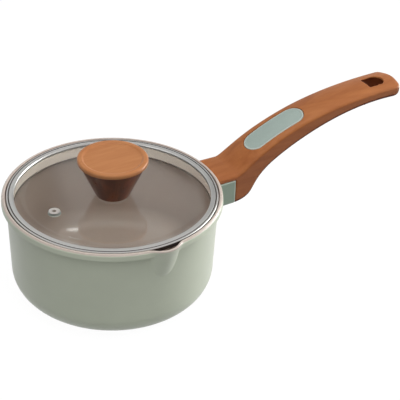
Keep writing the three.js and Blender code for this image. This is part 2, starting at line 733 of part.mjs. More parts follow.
// Everything that lies in the space of the flame guard, with or without a gap round it.
function guardSpace(gap) {
  const low = [-2 * rootBurial, -ROOT_WIDTH, -2 * ROOT_DEPTH];
  const high = [GUARD_LENGTH + gap, ROOT_WIDTH, guardTop + gap];
  return boxSolid(low, high);
}

function handleGrip(form, panShape) {
  const screwHole = onScrewAxis(rodSolid(boltHoleRadius, 0, screwRun), 0);
  const counterbore = onScrewAxis(rodSolid(COUNTERBORE_RADIUS, HEAD_SEAT_ALONG, screwRun), 0);
  const inlayRecess = inlayPrism(CUT_GAP).intersect(
    topLayer(-ROOT_WIDTH, INLAY_SINK + INLAY_THICKNESS + CUT_GAP),
  );
  return form
    .add(undersideRib())
    .subtract(guardSpace(CUT_GAP))
    .subtract(panShape)
    .subtract(screwHole.add(counterbore))
    .subtract(inlayRecess)
    .subtract(hangingHole());
}

function flameGuard(form, panShape) {
  const side = ROOT_WIDTH / 2 - GUARD_WALL;
  const inside = boxSolid(
    [-2 * rootBurial, -side, GUARD_WALL - ROOT_DEPTH],
    [GUARD_LENGTH - GUARD_END_WALL, side, guardTop - GUARD_WALL],
  );
  const screwHole = onScrewAxis(rodSolid(boltHoleRadius, 0, screwRun), 0);
  return form.intersect(guardSpace(0)).subtract(panShape).subtract(inside).subtract(screwHole);
}

function handleInlay() {
  return inlayPrism(0).intersect(topLayer(INLAY_SINK, INLAY_SINK + INLAY_THICKNESS));
}

const studEnd = GUARD_LENGTH - GUARD_END_WALL - CUT_GAP;

function handleStud(panShape) {
  const end = studEnd + rootBurial;
  const flangeTop = rootBurial + STUD_FLANGE_HEIGHT;
  const profile = [
    [0, 0],
    [STUD_FLANGE_RADIUS, 0],
    [STUD_FLANGE_RADIUS, flangeTop - 0.5],
    [STUD_FLANGE_RADIUS - 0.5, flangeTop],
    [STUD_RADIUS, flangeTop],
    [STUD_RADIUS, end - 0.5],
    [STUD_RADIUS - 0.5, end],
    [threadRadius, end],
    [threadRadius, end - STUD_THREAD_DEPTH],
    [0, end - STUD_THREAD_DEPTH],
  ];
  return onScrewAxis(solidOf(turned(profile, SMALL_SEGMENTS)), -rootBurial).subtract(panShape);
}

const springSeat = HEAD_SEAT_ALONG + FLAT_WASHER_THICKNESS;
const headSeat = springSeat + SPRING_WASHER_THICKNESS;

function flatWasher() {
  const washer = ringSolid(boltHoleRadius, FLAT_WASHER_RADIUS, 0, FLAT_WASHER_THICKNESS);
  return onScrewAxis(washer, HEAD_SEAT_ALONG);
}

function springWasher() {
  const washer = ringSolid(boltHoleRadius, SPRING_WASHER_RADIUS, 0, SPRING_WASHER_THICKNESS);
  const split = boxSolid([0, -SPRING_SPLIT / 2, -1], [2 * SPRING_WASHER_RADIUS, SPRING_SPLIT / 2, 3]);
  return onScrewAxis(washer.subtract(split), springSeat);
}

function handleScrew() {
  return onScrewAxis(panHeadScrew(headSeat - studEnd + HANDLE_SCREW_GRIP), headSeat, false);
}

// ---- assembly ---------------------------------------------------------------------------------

const group = new THREE.Group();

group.add(meshOf("pan_body", panBody(), looks.coating));
group.add(meshOf("induction_disc", inductionDisc(), looks.steel));

const handle = new THREE.Group();
handle.position.set(wallRadiusTop, 0, bandBottomZ);
const form = handleForm();
const panShape = panOutside(CUT_GAP).translate([-wallRadiusTop, 0, -bandBottomZ]);
handle.add(meshOf("handle_stud", handleStud(panShape), looks.aluminium));
handle.add(meshOf("flame_guard", flameGuard(form, panShape), looks.guardGreen));
handle.add(meshOf("handle_grip", handleGrip(form, panShape), looks.woodEffect));
handle.add(meshOf("handle_inlay", handleInlay(), looks.inlayGreen));
handle.add(meshOf("flat_washer", flatWasher(), looks.steel));
handle.add(meshOf("spring_washer", springWasher(), looks.steel));
handle.add(meshOf("handle_screw", handleScrew(), looks.steel));
group.add(handle);

const lid = new THREE.Group();
lid.position.z = seatZ;
lid.add(meshOf("lid_rim", lidRim(), looks.steel));
lid.add(meshOf("lid_glass", lidGlass(), looks.glass));

const vent = new THREE.Group();
vent.position.set(ventX, ventY, glassTopZ);
vent.add(meshOf("vent_eyelet", ventEyelet(), looks.steel));
vent.add(meshOf("vent_washer", ventWasher(), looks.steel));
lid.add(vent);

const knobSet = new THREE.Group();
knobSet.position.z = glassTopZ;
const upperGasket = ringSolid(boltHoleRadius, GASKET_RADIUS, 0, GASKET_THICKNESS);
const lowerGasket = ringSolid(boltHoleRadius, LOWER_GASKET_RADIUS, 0, GASKET_THICKNESS);
const knobWasher = ringSolid(boltHoleRadius, KNOB_WASHER_RADIUS, 0, KNOB_WASHER_THICKNESS);
const insert = ringSolid(threadRadius, INSERT_RADIUS, 0, INSERT_LENGTH);
const knobScrew = panHeadScrew(GASKET_THICKNESS + KNOB_SCREW_GRIP - knobWasherZ);
const knobPieces = [
  ["knob", knob(), looks.woodEffect, 0],
  ["knob_insert", insert, looks.brass, GASKET_THICKNESS],
  ["knob_gasket_upper", upperGasket, looks.silicone, 0],
  ["knob_gasket_lower", lowerGasket, looks.silicone, lowerGasketZ],
  ["knob_washer", knobWasher, looks.steel, knobWasherZ],
  ["knob_screw", knobScrew, looks.steel, knobWasherZ],
];
for (const [name, solid, look, height] of knobPieces) {
  const piece = meshOf(name, solid, look);
  piece.position.z = height;
  knobSet.add(piece);
}
lid.add(knobSet);
group.add(lid);

export default group;
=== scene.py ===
"""The dressed saucepan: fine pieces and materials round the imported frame, with its studio.

Sizes are in millimetres, in the frame of the CAD: the origin is the centre of the base, the
handle points along +X, the spout along -Y and Z is up. make_piece() turns them into metres.
"""

from math import atan2, cos, hypot, pi, radians, sin, sqrt

import bmesh
import bpy
import numpy as np
from mathutils import Matrix, Vector


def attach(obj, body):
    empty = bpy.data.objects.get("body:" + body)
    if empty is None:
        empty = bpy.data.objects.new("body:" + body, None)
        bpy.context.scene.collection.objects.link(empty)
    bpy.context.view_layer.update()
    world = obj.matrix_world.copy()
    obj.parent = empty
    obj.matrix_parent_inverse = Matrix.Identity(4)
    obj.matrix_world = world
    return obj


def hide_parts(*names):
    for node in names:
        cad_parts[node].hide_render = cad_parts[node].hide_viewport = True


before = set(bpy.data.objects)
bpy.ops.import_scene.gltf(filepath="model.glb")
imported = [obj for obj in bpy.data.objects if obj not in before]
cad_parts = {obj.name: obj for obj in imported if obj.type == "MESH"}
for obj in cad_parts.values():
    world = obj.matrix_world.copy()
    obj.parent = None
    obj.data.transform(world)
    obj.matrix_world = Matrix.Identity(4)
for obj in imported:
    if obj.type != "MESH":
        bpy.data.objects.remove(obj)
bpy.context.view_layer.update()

MM = 0.001

# ---- sizes, as in the frame ------------------------------------------------------------------

PAN_HEIGHT = 82.2
BASE_Z = 0.4  # underside of the coated base, over the table
FLOOR_Z = 4.6  # the pan's floor inside
WALL_TOP = 80.7  # outside radius of the wall, just under the lip band
WALL_LOW = 78.7  # the same, just above the bend into the base
WALL = 2.7
BEND = 20.0  # outside radius of the bend into the base
BAND_RADIUS = 84.5
BAND_BOTTOM = 77.2
UNDERCUT_Z = 74.8  # where the wall turns out to the lip band
RECESS_RADIUS = 81.4  # inside of the lip, round the lid
SEAT_Z = 77.7  # the ledge that the lid lies on
LIP_OUT = 1.4  # rounding of the spout's lip, and of the lip's inner edge
LIP_IN = 0.8
CREAM_DEPTH = 0.95  # how far the cream edge reaches down the lip
DISC_RADIUS = 54.0
DISC_THICKNESS = 1.5
DISC_GAP = 0.3
PAN_COUNT = 360  # points in each ring of the pan
COARSE_TOP_Z = 48  # rings lie further apart up to here, and closer from FINE_LOW_Z on
FINE_LOW_Z = 49.5

SPOUT_FOOT_Z = 54.8
SPOUT_CENTRE = (73.6, 69.3)  # pan axis to cone axis, at the lip and at the foot
SPOUT_RADIUS = (15.5, 10.6)
SPOUT_WALL = 2.2
SPOUT_BLEND = (0.3, 2.8)  # how softly the cone meets the wall, and the lip
SPOUT_BLEND_Z = (73, 81)  # between these heights the first turns into the second
SPOUT_SWELL = 0.7  # fullness of the spout just over its foot
SPOUT_SWELL_Z = (66, 76)  # it fades out between these heights
SPOUT_DRAW = 0.98  # share of the way to the cone that a point is moved
SPOUT_LOWEST_Z = 45  # no point below this is moved
SPOUT_CROWDING = 0.62  # how strongly a ring's points gather near the spout

RIM_RADIUS = 80.6
RIM_STEEL = 0.5
RIM_BEAD = 0.85  # radius of the rim's outer edge
RIM_GROOVE = 78.8  # radius of the groove beside it
RIM_RISE = 1.2  # top of the rim over the glass
FLANGE_EDGE = 74.8
SKIRT = 75.3
SKIRT_DROP = 8.6
SKIRT_CURL = 0.65  # radius of the skirt's curled lower edge
GLASS_LOW = 0.5  # underside and top of the glass over the seat
GLASS_TOP = 3.6
GLASS_RADIUS = 79.2
GLASS_EDGE = 0.7
BOLT_HOLE = 2.5
VENT = (-49.97, -1.74)
VENT_HOLE = 2.8
VENT_WASHER = 0.8

KNOB_HEIGHT = 31.7
KNOB_DISC = 26.9
KNOB_DISC_HEIGHT = 3.9
KNOB_SUNK = 0.9  # the field inside the knob's rim, under its top

HANDLE_X = 80.7  # the handle's frame: on the pan's wall, at the top of its tongue
HANDLE_Z = 77.2
REACH = 184.0
GAP = 0.3  # clearance between the handle's parts, and from them to the pan
FOLD = 21.9  # where the flat tongue turns up
ROOT_DEPTH = 26.1
ELBOW = (60.2, 4.0)
TIP_TOP = 40.4
TIP_UNDER = 30.6
EDGE_TOP = 2.6  # rounding of the handle's long edges
EDGE_UNDER = 3.0
CROWN = 1.7  # arch of the handle's top across its width
ROOT_WIDTH = 36
WAIST_WIDTH = 31.7
TIP_NARROWING = 0.4
WAIST = 79
NARROWED = 128  # where the narrowing towards the tip ends
TIP_ROUND = 7  # length of the rounded end, seen from above
TIP_POWER = 2.4  # 2 would make it an ellipse
TOP_ROUND = 2.5  # rounding of the tip's upper and lower edge
UNDER_ROUND = 9.6
INLAY_START = 40.0
INLAY_END = 91.9
INLAY_WIDTH = 20.4
INLAY_BORDER = 1.3
GUARD_END = 20.3
GUARD_TOP = -4.3
GUARD_ROUND = 0.8
SCREW_UP = (GUARD_TOP - ROOT_DEPTH) / 2
SCREW_SEAT = 29.3
COUNTERBORE = 5.2
HOLE_TO_TIP = 11.4
HOLE_LENGTH = 17.2
HOLE_RADIUS = 7
HOLE_CORNER = 0.7
RIB_TO_HOLE = 8.3
RIB_RADIUS = 3


# ---- meshes ----------------------------------------------------------------------------------


def mesh_of(name, points, faces):
    """A mesh with its doubled points joined and its normals outward."""
    mesh = bpy.data.meshes.new(name)
    mesh.from_pydata([tuple(map(float, p)) for p in points], [], faces)
    bm = bmesh.new()
    bm.from_mesh(mesh)
    bmesh.ops.remove_doubles(bm, verts=bm.verts, dist=1e-4)
    bmesh.ops.recalc_face_normals(bm, faces=bm.faces)
    bm.to_mesh(mesh)
    bm.free()
    return mesh


def plain_object(name, mesh):
    ob = bpy.data.objects.new(name, mesh)
    bpy.context.scene.collection.objects.link(ob)
    return ob


def applied(ob):
    """The object's mesh with its modifiers applied; the object itself goes."""
    bpy.context.view_layer.update()
    graph = bpy.context.evaluated_depsgraph_get()
    mesh = bpy.data.meshes.new_from_object(ob.evaluated_get(graph), depsgraph=graph)
    name = ob.name
    old = ob.data
    bpy.data.objects.remove(ob)
    bpy.data.meshes.remove(old)
    mesh.name = name
    return mesh


def combined(mesh, others, operation):
    """The mesh with each of the others cut from it or joined to it."""
    ob = plain_object(mesh.name, mesh)
    helpers = []
    for other in others:
        helper = plain_object(other.name, other)
        cut = ob.modifiers.new("cut", "BOOLEAN")
        cut.operation = operation
        cut.solver = "EXACT"
        cut.object = helper
        helpers.append(helper)
    result = applied(ob)
    for helper in helpers:
        old = helper.data
        bpy.data.objects.remove(helper)
        bpy.data.meshes.remove(old)
    return result


def softened(mesh, voxel, rounds):
    """The mesh rebuilt on an even grid and relaxed, which rounds its edges as a moulding's."""
    ob = plain_object(mesh.name, mesh)
    grid = ob.modifiers.new("grid", "REMESH")
    grid.mode = "VOXEL"
    grid.voxel_size = voxel
    grid.use_smooth_shade = True
    relax = ob.modifiers.new("relax", "SMOOTH")
    relax.factor = 0.5
    relax.iterations = rounds
    return applied(ob)


def make_piece(name, mesh, body, materials, replaces, pick=None, sharp=38):
    """A finished piece of the model. pick gives a face's material from its centre and normal."""
    for material in materials:
        mesh.materials.append(material)
    if pick is not None:
        chosen = [pick(face.center, face.normal) for face in mesh.polygons]
        mesh.polygons.foreach_set("material_index", chosen)
    mesh.transform(Matrix.Scale(MM, 4))
    mesh.polygons.foreach_set("use_smooth", [True] * len(mesh.polygons))
    if sharp:
        mesh.set_sharp_from_angle(angle=radians(sharp))
    mesh.name = name
    ob = plain_object(name, mesh)
    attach(ob, body)
    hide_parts(*replaces)
    return ob


def arc(r, z, radius, start, end, steps):
    """Points of an arc round (r, z), from one angle in degrees to another."""
    turns = [radians(start + (end - start) * i / steps) for i in range(steps + 1)]
    return [(r + radius * cos(a), z + radius * sin(a)) for a in turns]


def rounded(corners, steps):
    """A path of (r, z, radius) corners, with each corner rounded to about its radius."""
    path = []
    for i, (r, z, radius) in enumerate(corners):
        here = Vector((r, z))
        if radius == 0 or i in (0, len(corners) - 1):
            path.append((r, z))
            continue
        before = (Vector(corners[i - 1][:2]) - here).normalized()
        after = (Vector(corners[i + 1][:2]) - here).normalized()
        half = before.angle(after) / 2
        start = here + before * radius / np.tan(half)
        end = here + after * radius / np.tan(half)
        for k in range(steps + 1):
            t = k / steps
            path.append(tuple(start * (1 - t) ** 2 + here * 2 * t * (1 - t) + end * t**2))
    return path


def bands(rings):
    """The faces between each ring of point numbers and the next. A ring may be one point."""
    faces = []
    for low, high in zip(rings, rings[1:]):
        for i in range(len(low)):
            j = (i + 1) % len(low)
            faces.append(tuple(dict.fromkeys((low[i], low[j], high[j], high[i]))))
    return faces


def revolved(name, rows, count, closed=False):
    """Rows of (r, z, place) turned round an upright axis. place(angle, r, z) gives a point."""
    points, rings = [], []
    for r, z, place in rows:
        if r == 0:
            rings.append([len(points)] * count)
            points.append(place(0, 0, z))
            continue
        rings.append(list(range(len(points), len(points) + count)))
        points += [place(2 * pi * i / count, r, z) for i in range(count)]
    return mesh_of(name, points, bands(rings + rings[:1] if closed else rings))


def turned(name, path, count, closed=False, centre=(0, 0)):
    """A round body from a path of (r, z), with its axis through a centre in plan."""

    def place(angle, r, z):
        return (centre[0] + r * sin(angle), centre[1] - r * cos(angle), z)

    return revolved(name, [(r, z, place) for r, z in path], count, closed)


# ---- materials -------------------------------------------------------------------------------


def srgb(red, green, blue):
    """A colour given in 0-255 steps as the eye sees it, in the linear values shaders use."""
    steps = [c / 255 for c in (red, green, blue)]
    return tuple(c / 12.92 if c <= 0.04045 else ((c + 0.055) / 1.055) ** 2.4 for c in steps) + (1,)


def shaded(colour, factor):
    """A colour made darker or lighter."""
    return tuple(min(1, c * factor) for c in colour[:3]) + (1,)


class Look:
    """A material with a few short ways to add nodes to it."""

    def __init__(self, name, roughness, metallic=0.0, **values):
        self.material = bpy.data.materials.new(name)
        self.material.use_nodes = True
        self.tree = self.material.node_tree
        self.shader = self.tree.nodes["Principled BSDF"]
        values.update(Roughness=roughness, Metallic=metallic)
        for key, value in values.items():
            self.shader.inputs[key.replace("_", " ")].default_value = value
        self.place = self.node("ShaderNodeTexCoord").outputs["Object"]

    def node(self, kind, values=(), **settings):
        """A new node. values gives its inputs, each a plain value or another node's output."""
        node = self.tree.nodes.new(kind)
        for name, value in settings.items():
            setattr(node, name, value)
        for key, value in dict(values).items():
            if isinstance(value, bpy.types.NodeSocket):
                self.tree.links.new(value, node.inputs[key])
            else:
                node.inputs[key].default_value = value
        return node

    def link(self, output, name):
        self.tree.links.new(output, self.shader.inputs[name])

    def scaled(self, x, y, z):
        values = {"Vector": self.place, "Scale": (x, y, z)}
        return self.node("ShaderNodeMapping", values).outputs[0]

    def noise(self, at, detail, rough=0.5, distortion=0.0):
        values = {"Vector": at, "Scale": 1.0, "Detail": detail}
        values.update({"Roughness": rough, "Distortion": distortion})
        return self.node("ShaderNodeTexNoise", values).outputs[0]

    def cloud(self, size, detail, rough=0.5):
        """Noise with about this many lumps to a metre, the same in every direction."""
        return self.noise(self.scaled(size, size, size), detail, rough)

    def ramp(self, value, stops):
        node = self.node("ShaderNodeValToRGB", {0: value})
        band = node.color_ramp
        while len(band.elements) < len(stops):
            band.elements.new(0.5)
        for element, (place, colour) in zip(band.elements, stops):
            element.position = place
            element.color = colour
        return node.outputs[0]

    def span(self, value, low, high, start=0.0, end=1.0):
        """Goes from low to high while the value goes from start to end."""
        values = {0: value, 1: start, 2: end, 3: low, 4: high}
        return self.node("ShaderNodeMapRange", values).outputs[0]

    def maths(self, operation, a, b=0.0):
        return self.node("ShaderNodeMath", {0: a, 1: b}, operation=operation).outputs[0]

    def mix(self, share, a, b):
        values = {0: share, 6: a, 7: b}
        return self.node("ShaderNodeMix", values, data_type="RGBA").outputs[2]

    def bump(self, height, depth_mm, strength=1.0, under=None):
        values = {"Height": height, "Distance": depth_mm * MM, "Strength": strength}
        if under is not None:
            values["Normal"] = under
        return self.node("ShaderNodeBump", values).outputs[0]

    def radius(self):
        """Distance from the upright axis through the origin, in metres."""
        parts = self.node("ShaderNodeSeparateXYZ", {0: self.place})
        x = self.maths("MULTIPLY", parts.outputs[0], parts.outputs[0])
        y = self.maths("MULTIPLY", parts.outputs[1], parts.outputs[1])
        return self.maths("SQRT", self.maths("ADD", x, y))


def coating(name, colour, fleck, roughness, fleck_share=0.35):
    """Sprayed coating: a soft colour drift, fine flecks and the faint ripple of a sprayed film."""
    look = Look(name, roughness)
    shades = look.ramp(look.cloud(22, 3), [(0.35, colour), (0.7, shaded(colour, 0.93))])
    specks = look.cloud(1500, 2, 0.7)
    share = look.span(specks, 0.0, fleck_share, 0.62, 0.78)
    look.link(look.mix(share, shades, fleck), "Base Color")
    look.link(look.span(look.cloud(60, 4), roughness - 0.05, roughness + 0.06), "Roughness")
    ripple = look.bump(look.cloud(420, 2), 0.03, 0.5)
    look.link(look.bump(specks, 0.012, 0.6, ripple), "Normal")
    return look.material


GRAIN_LONG = 9.0  # lumps of the wood's figure to a metre, along its grain and across it
GRAIN_ACROSS = 55.0
STREAKS_FINER = 7
PORES_FINER = 26


def wood_effect(name, tones, roughness=0.42, along="x", figure=1.0, gloss=0.28):
    """Moulded plastic with a printed wood look: soft drifting figure, faint streaks and pores."""
    light, middle, dark = [srgb(*tone) for tone in tones]
    look = Look(name, roughness, Specular_IOR_Level=gloss)
    stretch = [GRAIN_LONG if axis == along else GRAIN_ACROSS for axis in "xyz"]
    drift = look.noise(look.scaled(*stretch), 4, 0.55, 1.4)
    streaks = look.noise(look.scaled(*[s * STREAKS_FINER for s in stretch]), 5, 0.6, 0.4)
    pores = look.noise(look.scaled(*[s * PORES_FINER for s in stretch]), 3, 0.6)
    tone = look.ramp(drift, [(0.3, dark), (0.5, middle), (0.7, light)])
    fine = look.ramp(streaks, [(0.35, shaded(middle, 0.8)), (0.6, light)])
    colour = look.mix(0.22 * figure, tone, fine)
    pore = look.span(pores, 0.0, 0.16 * figure, 0.62, 0.78)
    look.link(look.mix(pore, colour, shaded(dark, 0.55)), "Base Color")
    look.link(look.span(streaks, roughness + 0.05, roughness - 0.03, 0.3, 0.7), "Roughness")
    grain = look.bump(streaks, 0.012, 0.25 * figure)
    look.link(look.bump(pores, 0.006, 0.25 * figure, grain), "Normal")
    return look.material


def turned_metal(name, colour, roughness, lines=6000, depth=0.002, contrast=0.06, metallic=1.0):
    """Metal with fine rings from turning or polishing round the upright axis."""
    look = Look(name, roughness, metallic)
    radius = look.radius()
    around = look.node("ShaderNodeCombineXYZ", {0: look.maths("MULTIPLY", radius, lines)})
    rings = look.noise(around.outputs[0], 4, 0.6)
    darker = shaded(colour, 1 - contrast)
    look.link(look.mix(look.span(rings, 0, 1, 0.35, 0.65), darker, colour), "Base Color")
    dull = look.span(look.cloud(35, 3), roughness - 0.04, roughness + 0.08, 0.3, 0.7)
    look.link(dull, "Roughness")
    look.link(look.bump(rings, depth, 0.7), "Normal")
    return look.material


def cast_metal(name, colour, roughness):
    """Metal with a slightly cloudy, pitted skin, as on small cast or plated parts."""
    look = Look(name, roughness, 1.0)
    cloud = look.cloud(160, 4)
    share = look.span(cloud, 0, 1, 0.35, 0.65)
    look.link(look.mix(share, shaded(colour, 0.82), colour), "Base Color")
    look.link(look.span(cloud, roughness - 0.06, roughness + 0.1), "Roughness")
    look.link(look.bump(look.cloud(900, 2), 0.01, 0.5), "Normal")
    return look.material


def soft_rubber(name, colour, roughness=0.62):
    """Silicone or soft plastic with a fine matt grain and a faint drift in its colour."""
    look = Look(name, roughness)
    grain = look.cloud(1100, 2, 0.6)
    drift = look.span(look.cloud(45, 3), 0, 1, 0.3, 0.7)
    body = look.mix(drift, shaded(colour, 0.9), colour)
    share = look.span(grain, 0, 0.6, 0.5, 0.75)
    look.link(look.mix(share, body, shaded(colour, 1.1)), "Base Color")
    look.link(look.span(grain, roughness - 0.05, roughness + 0.08), "Roughness")
    look.link(look.bump(grain, 0.03, 0.6), "Normal")
    return look.material


GLASS_SHADE = (0.72, 0.738, 0.732, 1)  # share of the lamps' light that the glass lets through


def clear_glass(name):
    """Tempered glass that lets the lamps through to what lies under it."""
    look = Look(name, 0.01, Transmission_Weight=1.0, IOR=1.5)
    waves = look.cloud(12, 2)
    tints = look.ramp(waves, [(0.3, srgb(246, 250, 247)), (0.7, srgb(250, 252, 250))])
    look.link(tints, "Base Color")
    look.link(look.bump(waves, 0.05, 0.12), "Normal")
    through = look.node("ShaderNodeBsdfTransparent", {"Color": GLASS_SHADE})
    path = look.node("ShaderNodeLightPath")
    both = look.node("ShaderNodeMixShader", {0: path.outputs["Is Shadow Ray"]})
    look.tree.links.new(look.shader.outputs[0], both.inputs[1])
    look.tree.links.new(through.outputs[0], both.inputs[2])
    output = look.tree.nodes["Material Output"]
    look.tree.links.new(both.outputs[0], output.inputs["Surface"])
    return look.material


green_coat = coating("green_coat", srgb(198, 205, 185), srgb(216, 220, 206), 0.34)
cream_edge = coating("cream_edge", srgb(194, 181, 171), srgb(212, 201, 191), 0.28)
taupe_coat = coating("taupe_coat", srgb(170, 152, 142), srgb(192, 175, 165), 0.36, 0.5)
guard_coat = coating("guard_coat", srgb(134, 149, 134), srgb(158, 170, 154), 0.42)
# Painted highlight: a lighter coat where the sleeve's edges catch the light
guard_edge = coating("guard_edge", srgb(184, 194, 182), srgb(200, 208, 196), 0.4)

WARM_TONES = ((168, 105, 59), (157, 94, 51), (140, 79, 41))
# Painted shade: a darker copy of the wood for the handle's upright sides
SIDE_SHADE_TONES = ((158, 94, 50), (147, 84, 43), (131, 71, 34))
# Painted shade: darker wood for the handle's underside, lower edge, tip corner and hanging hole's
# walls
PAINTED_SHADE_TONES = ((102, 46, 14), (86, 35, 9), (68, 25, 5))
KNOB_TONES = ((183, 125, 80), (173, 114, 70), (163, 103, 61))
# Painted shade: a darker copy of the knob's wood for its downward-facing cone
CONE_SHADE_TONES = ((118, 60, 34), (92, 45, 24), (64, 29, 15))
warm_wood = wood_effect("warm_wood", WARM_TONES)
side_wood = wood_effect("side_wood", SIDE_SHADE_TONES)
deep_wood = wood_effect("deep_wood", PAINTED_SHADE_TONES, roughness=0.5, gloss=0.1)
knob_wood = wood_effect("knob_wood", KNOB_TONES, roughness=0.33, figure=0.6)
dark_wood = wood_effect("dark_wood", CONE_SHADE_TONES, 0.3, along="z", figure=0.6, gloss=0.18)

inlay_pad = soft_rubber("inlay_pad", srgb(155, 169, 162))
inlay_border = soft_rubber("inlay_border", srgb(180, 188, 180))
seal_grey = soft_rubber("seal_grey", srgb(196, 184, 176), 0.5)
silicone = soft_rubber("silicone", srgb(212, 212, 206), 0.5)
rim_steel = turned_metal("rim_steel", srgb(226, 225, 222), 0.32)
# Painted reflection: a pale warm tint on the skirt's steel for the interior it mirrors
skirt_steel = turned_metal("skirt_steel", srgb(238, 224, 214), 0.55, metallic=0.3)
# Painted shade: the skirt's curl in a darker steel
curl_steel = turned_metal("curl_steel", srgb(120, 108, 100), 0.45)
# Painted shade: darker steel in the rim's groove and on its outer side by the lip
groove_steel = turned_metal("groove_steel", srgb(74, 67, 63), 0.5, metallic=0.6)
vent_steel = turned_metal("vent_steel", srgb(240, 234, 228), 0.5, depth=0.001)
disc_steel = turned_metal("disc_steel", srgb(182, 180, 177), 0.3, 9000, 0.006, 0.2)
screw_steel = cast_metal("screw_steel", srgb(186, 184, 180), 0.28)
stud_metal = cast_metal("stud_metal", srgb(190, 190, 192), 0.38)
insert_brass = cast_metal("insert_brass", srgb(205, 170, 96), 0.3)
glass = clear_glass("lid_glass")

# ---- pan -------------------------------------------------------------------------------------


def smooth_step(value, low, high):
    """0 below low, 1 above high, with a smooth rise between them."""
    t = min(1, max(0, (value - low) / (high - low)))
    return t * t * (3 - 2 * t)


def wall_radius(z):
    """Outside radius of the slightly tapered wall."""
    low = BASE_Z + BEND
    return WALL_LOW + (WALL_TOP - WALL_LOW) * (z - low) / (UNDERCUT_Z - low)


def spout_reach(angle, z):
    """Radius of the spout's cone in a direction counted from the spout, or 0 off the cone."""
    share = (PAN_HEIGHT - z) / (PAN_HEIGHT - SPOUT_FOOT_Z)
    centre = SPOUT_CENTRE[0] + (SPOUT_CENTRE[1] - SPOUT_CENTRE[0]) * share
    radius = SPOUT_RADIUS[0] + (SPOUT_RADIUS[1] - SPOUT_RADIUS[0]) * share
    inside = radius**2 - (centre * sin(angle)) ** 2
    return centre * cos(angle) + sqrt(inside) if cos(angle) > 0 and inside > 0 else 0


def soft_positive(value, blend):
    """The value where it is positive, else 0, with the corner at 0 rounded off."""
    if value <= -blend:
        return 0
    return value if value >= blend else (value + blend) ** 2 / (4 * blend)


def lip_inset(z):
    """How far the spout's outside is drawn in by the rounding of the lip."""
    up = z - (PAN_HEIGHT - LIP_OUT)
    return LIP_OUT - sqrt(max(0, LIP_OUT**2 - up**2)) if up > 0 else 0


def wall_inset(z):
    """The same for its inside, which lies a wall's thickness further in at every height."""
    return SPOUT_WALL


def spouted(inset):
    """Crowds the points towards the spout and pushes them out to its cone."""

    def place(even, r, z):
        angle = even - SPOUT_CROWDING * sin(even)
        if z > SPOUT_LOWEST_Z and r > SPOUT_CENTRE[1]:
            up = smooth_step(z, *SPOUT_BLEND_Z)
            blend = SPOUT_BLEND[0] + (SPOUT_BLEND[1] - SPOUT_BLEND[0]) * up
            swell = SPOUT_SWELL * smooth_step(z, SPOUT_FOOT_Z - 0.5, SPOUT_FOOT_Z + 4)
            swell *= 1 - smooth_step(z, *SPOUT_SWELL_Z)
            r += SPOUT_DRAW * soft_positive(spout_reach(angle, z) + swell - inset(z) - r, blend)
        return (r * sin(angle), -r * cos(angle), z)

    return place


def pan_shell():
    low = BASE_Z + BEND
    pocket, bevel = DISC_RADIUS + DISC_GAP, 0.3
    outside = [(0, DISC_THICKNESS), (pocket, DISC_THICKNESS)]
    outside += [(pocket, BASE_Z + bevel), (pocket + bevel, BASE_Z)]
    outside += arc(WALL_LOW - BEND, low, BEND, -90, 0, 16)
    outside += [(wall_radius(z), z) for z in np.linspace(low + 3, COARSE_TOP_Z, 10)]
    outside += [(wall_radius(z), z) for z in np.linspace(FINE_LOW_Z, UNDERCUT_Z - 1.4, 34)]
    outside += rounded(
        [
            (wall_radius(UNDERCUT_Z - 1), UNDERCUT_Z - 1, 0),
            (WALL_TOP, UNDERCUT_Z + 0.4, 0.6),
            (BAND_RADIUS, BAND_BOTTOM - 0.2, 0.6),
            (BAND_RADIUS - 0.25, PAN_HEIGHT - 1.3, 1.0),
            (BAND_RADIUS - 1.5, PAN_HEIGHT, 0.8),
            (RECESS_RADIUS + LIP_IN, PAN_HEIGHT, 0),
        ],
        6,
    )[:-1]
    ledge = wall_radius(SEAT_Z) - WALL
    inside = arc(RECESS_RADIUS + LIP_IN, PAN_HEIGHT - LIP_IN, LIP_IN, 90, 180, 5)
    inside += rounded(
        [
            (RECESS_RADIUS, 80, 0),
            (RECESS_RADIUS, SEAT_Z, 0.4),
            (ledge, SEAT_Z, 0.7),
            (ledge, SEAT_Z - 2.2, 0),
        ],
        4,
    )
    inner = BEND - WALL
    bend_top = FLOOR_Z + inner
    inside += [(wall_radius(z) - WALL, z) for z in np.linspace(UNDERCUT_Z - 0.8, FINE_LOW_Z, 34)]
    inside += [(wall_radius(z) - WALL, z) for z in np.linspace(COARSE_TOP_Z, bend_top + 3, 9)]
    inside += arc(WALL_LOW - BEND, bend_top, inner, 0, -90, 16)
    inside += [(r, FLOOR_Z) for r in (44, 28, 12, 0)]

    rows = [(r, z, spouted(lip_inset)) for r, z in outside]
    rows += [(r, z, spouted(wall_inset)) for r, z in inside]
    mesh = revolved("pan_shell", rows, PAN_COUNT)

    def pick(centre, normal):
        """Green outside, cream on the lip's top, taupe inside."""
        r = hypot(centre[0], centre[1])
        outward = normal[0] * centre[0] + normal[1] * centre[1]
        if centre[2] > PAN_HEIGHT - CREAM_DEPTH and outward > -0.5 * r:
            return 1
        if centre[2] < DISC_THICKNESS + 0.1 or (outward > 0 and centre[2] < SEAT_Z):
            return 0
        if outward > 0 and r > RECESS_RADIUS + LIP_IN:
            return 0
        return 2 if centre[2] > FLOOR_Z - 0.5 else 0

    return make_piece(
        "pan_shell",
        mesh,
        "pan",
        [green_coat, cream_edge, taupe_coat],
        ("pan_body",),
        pick,
    )


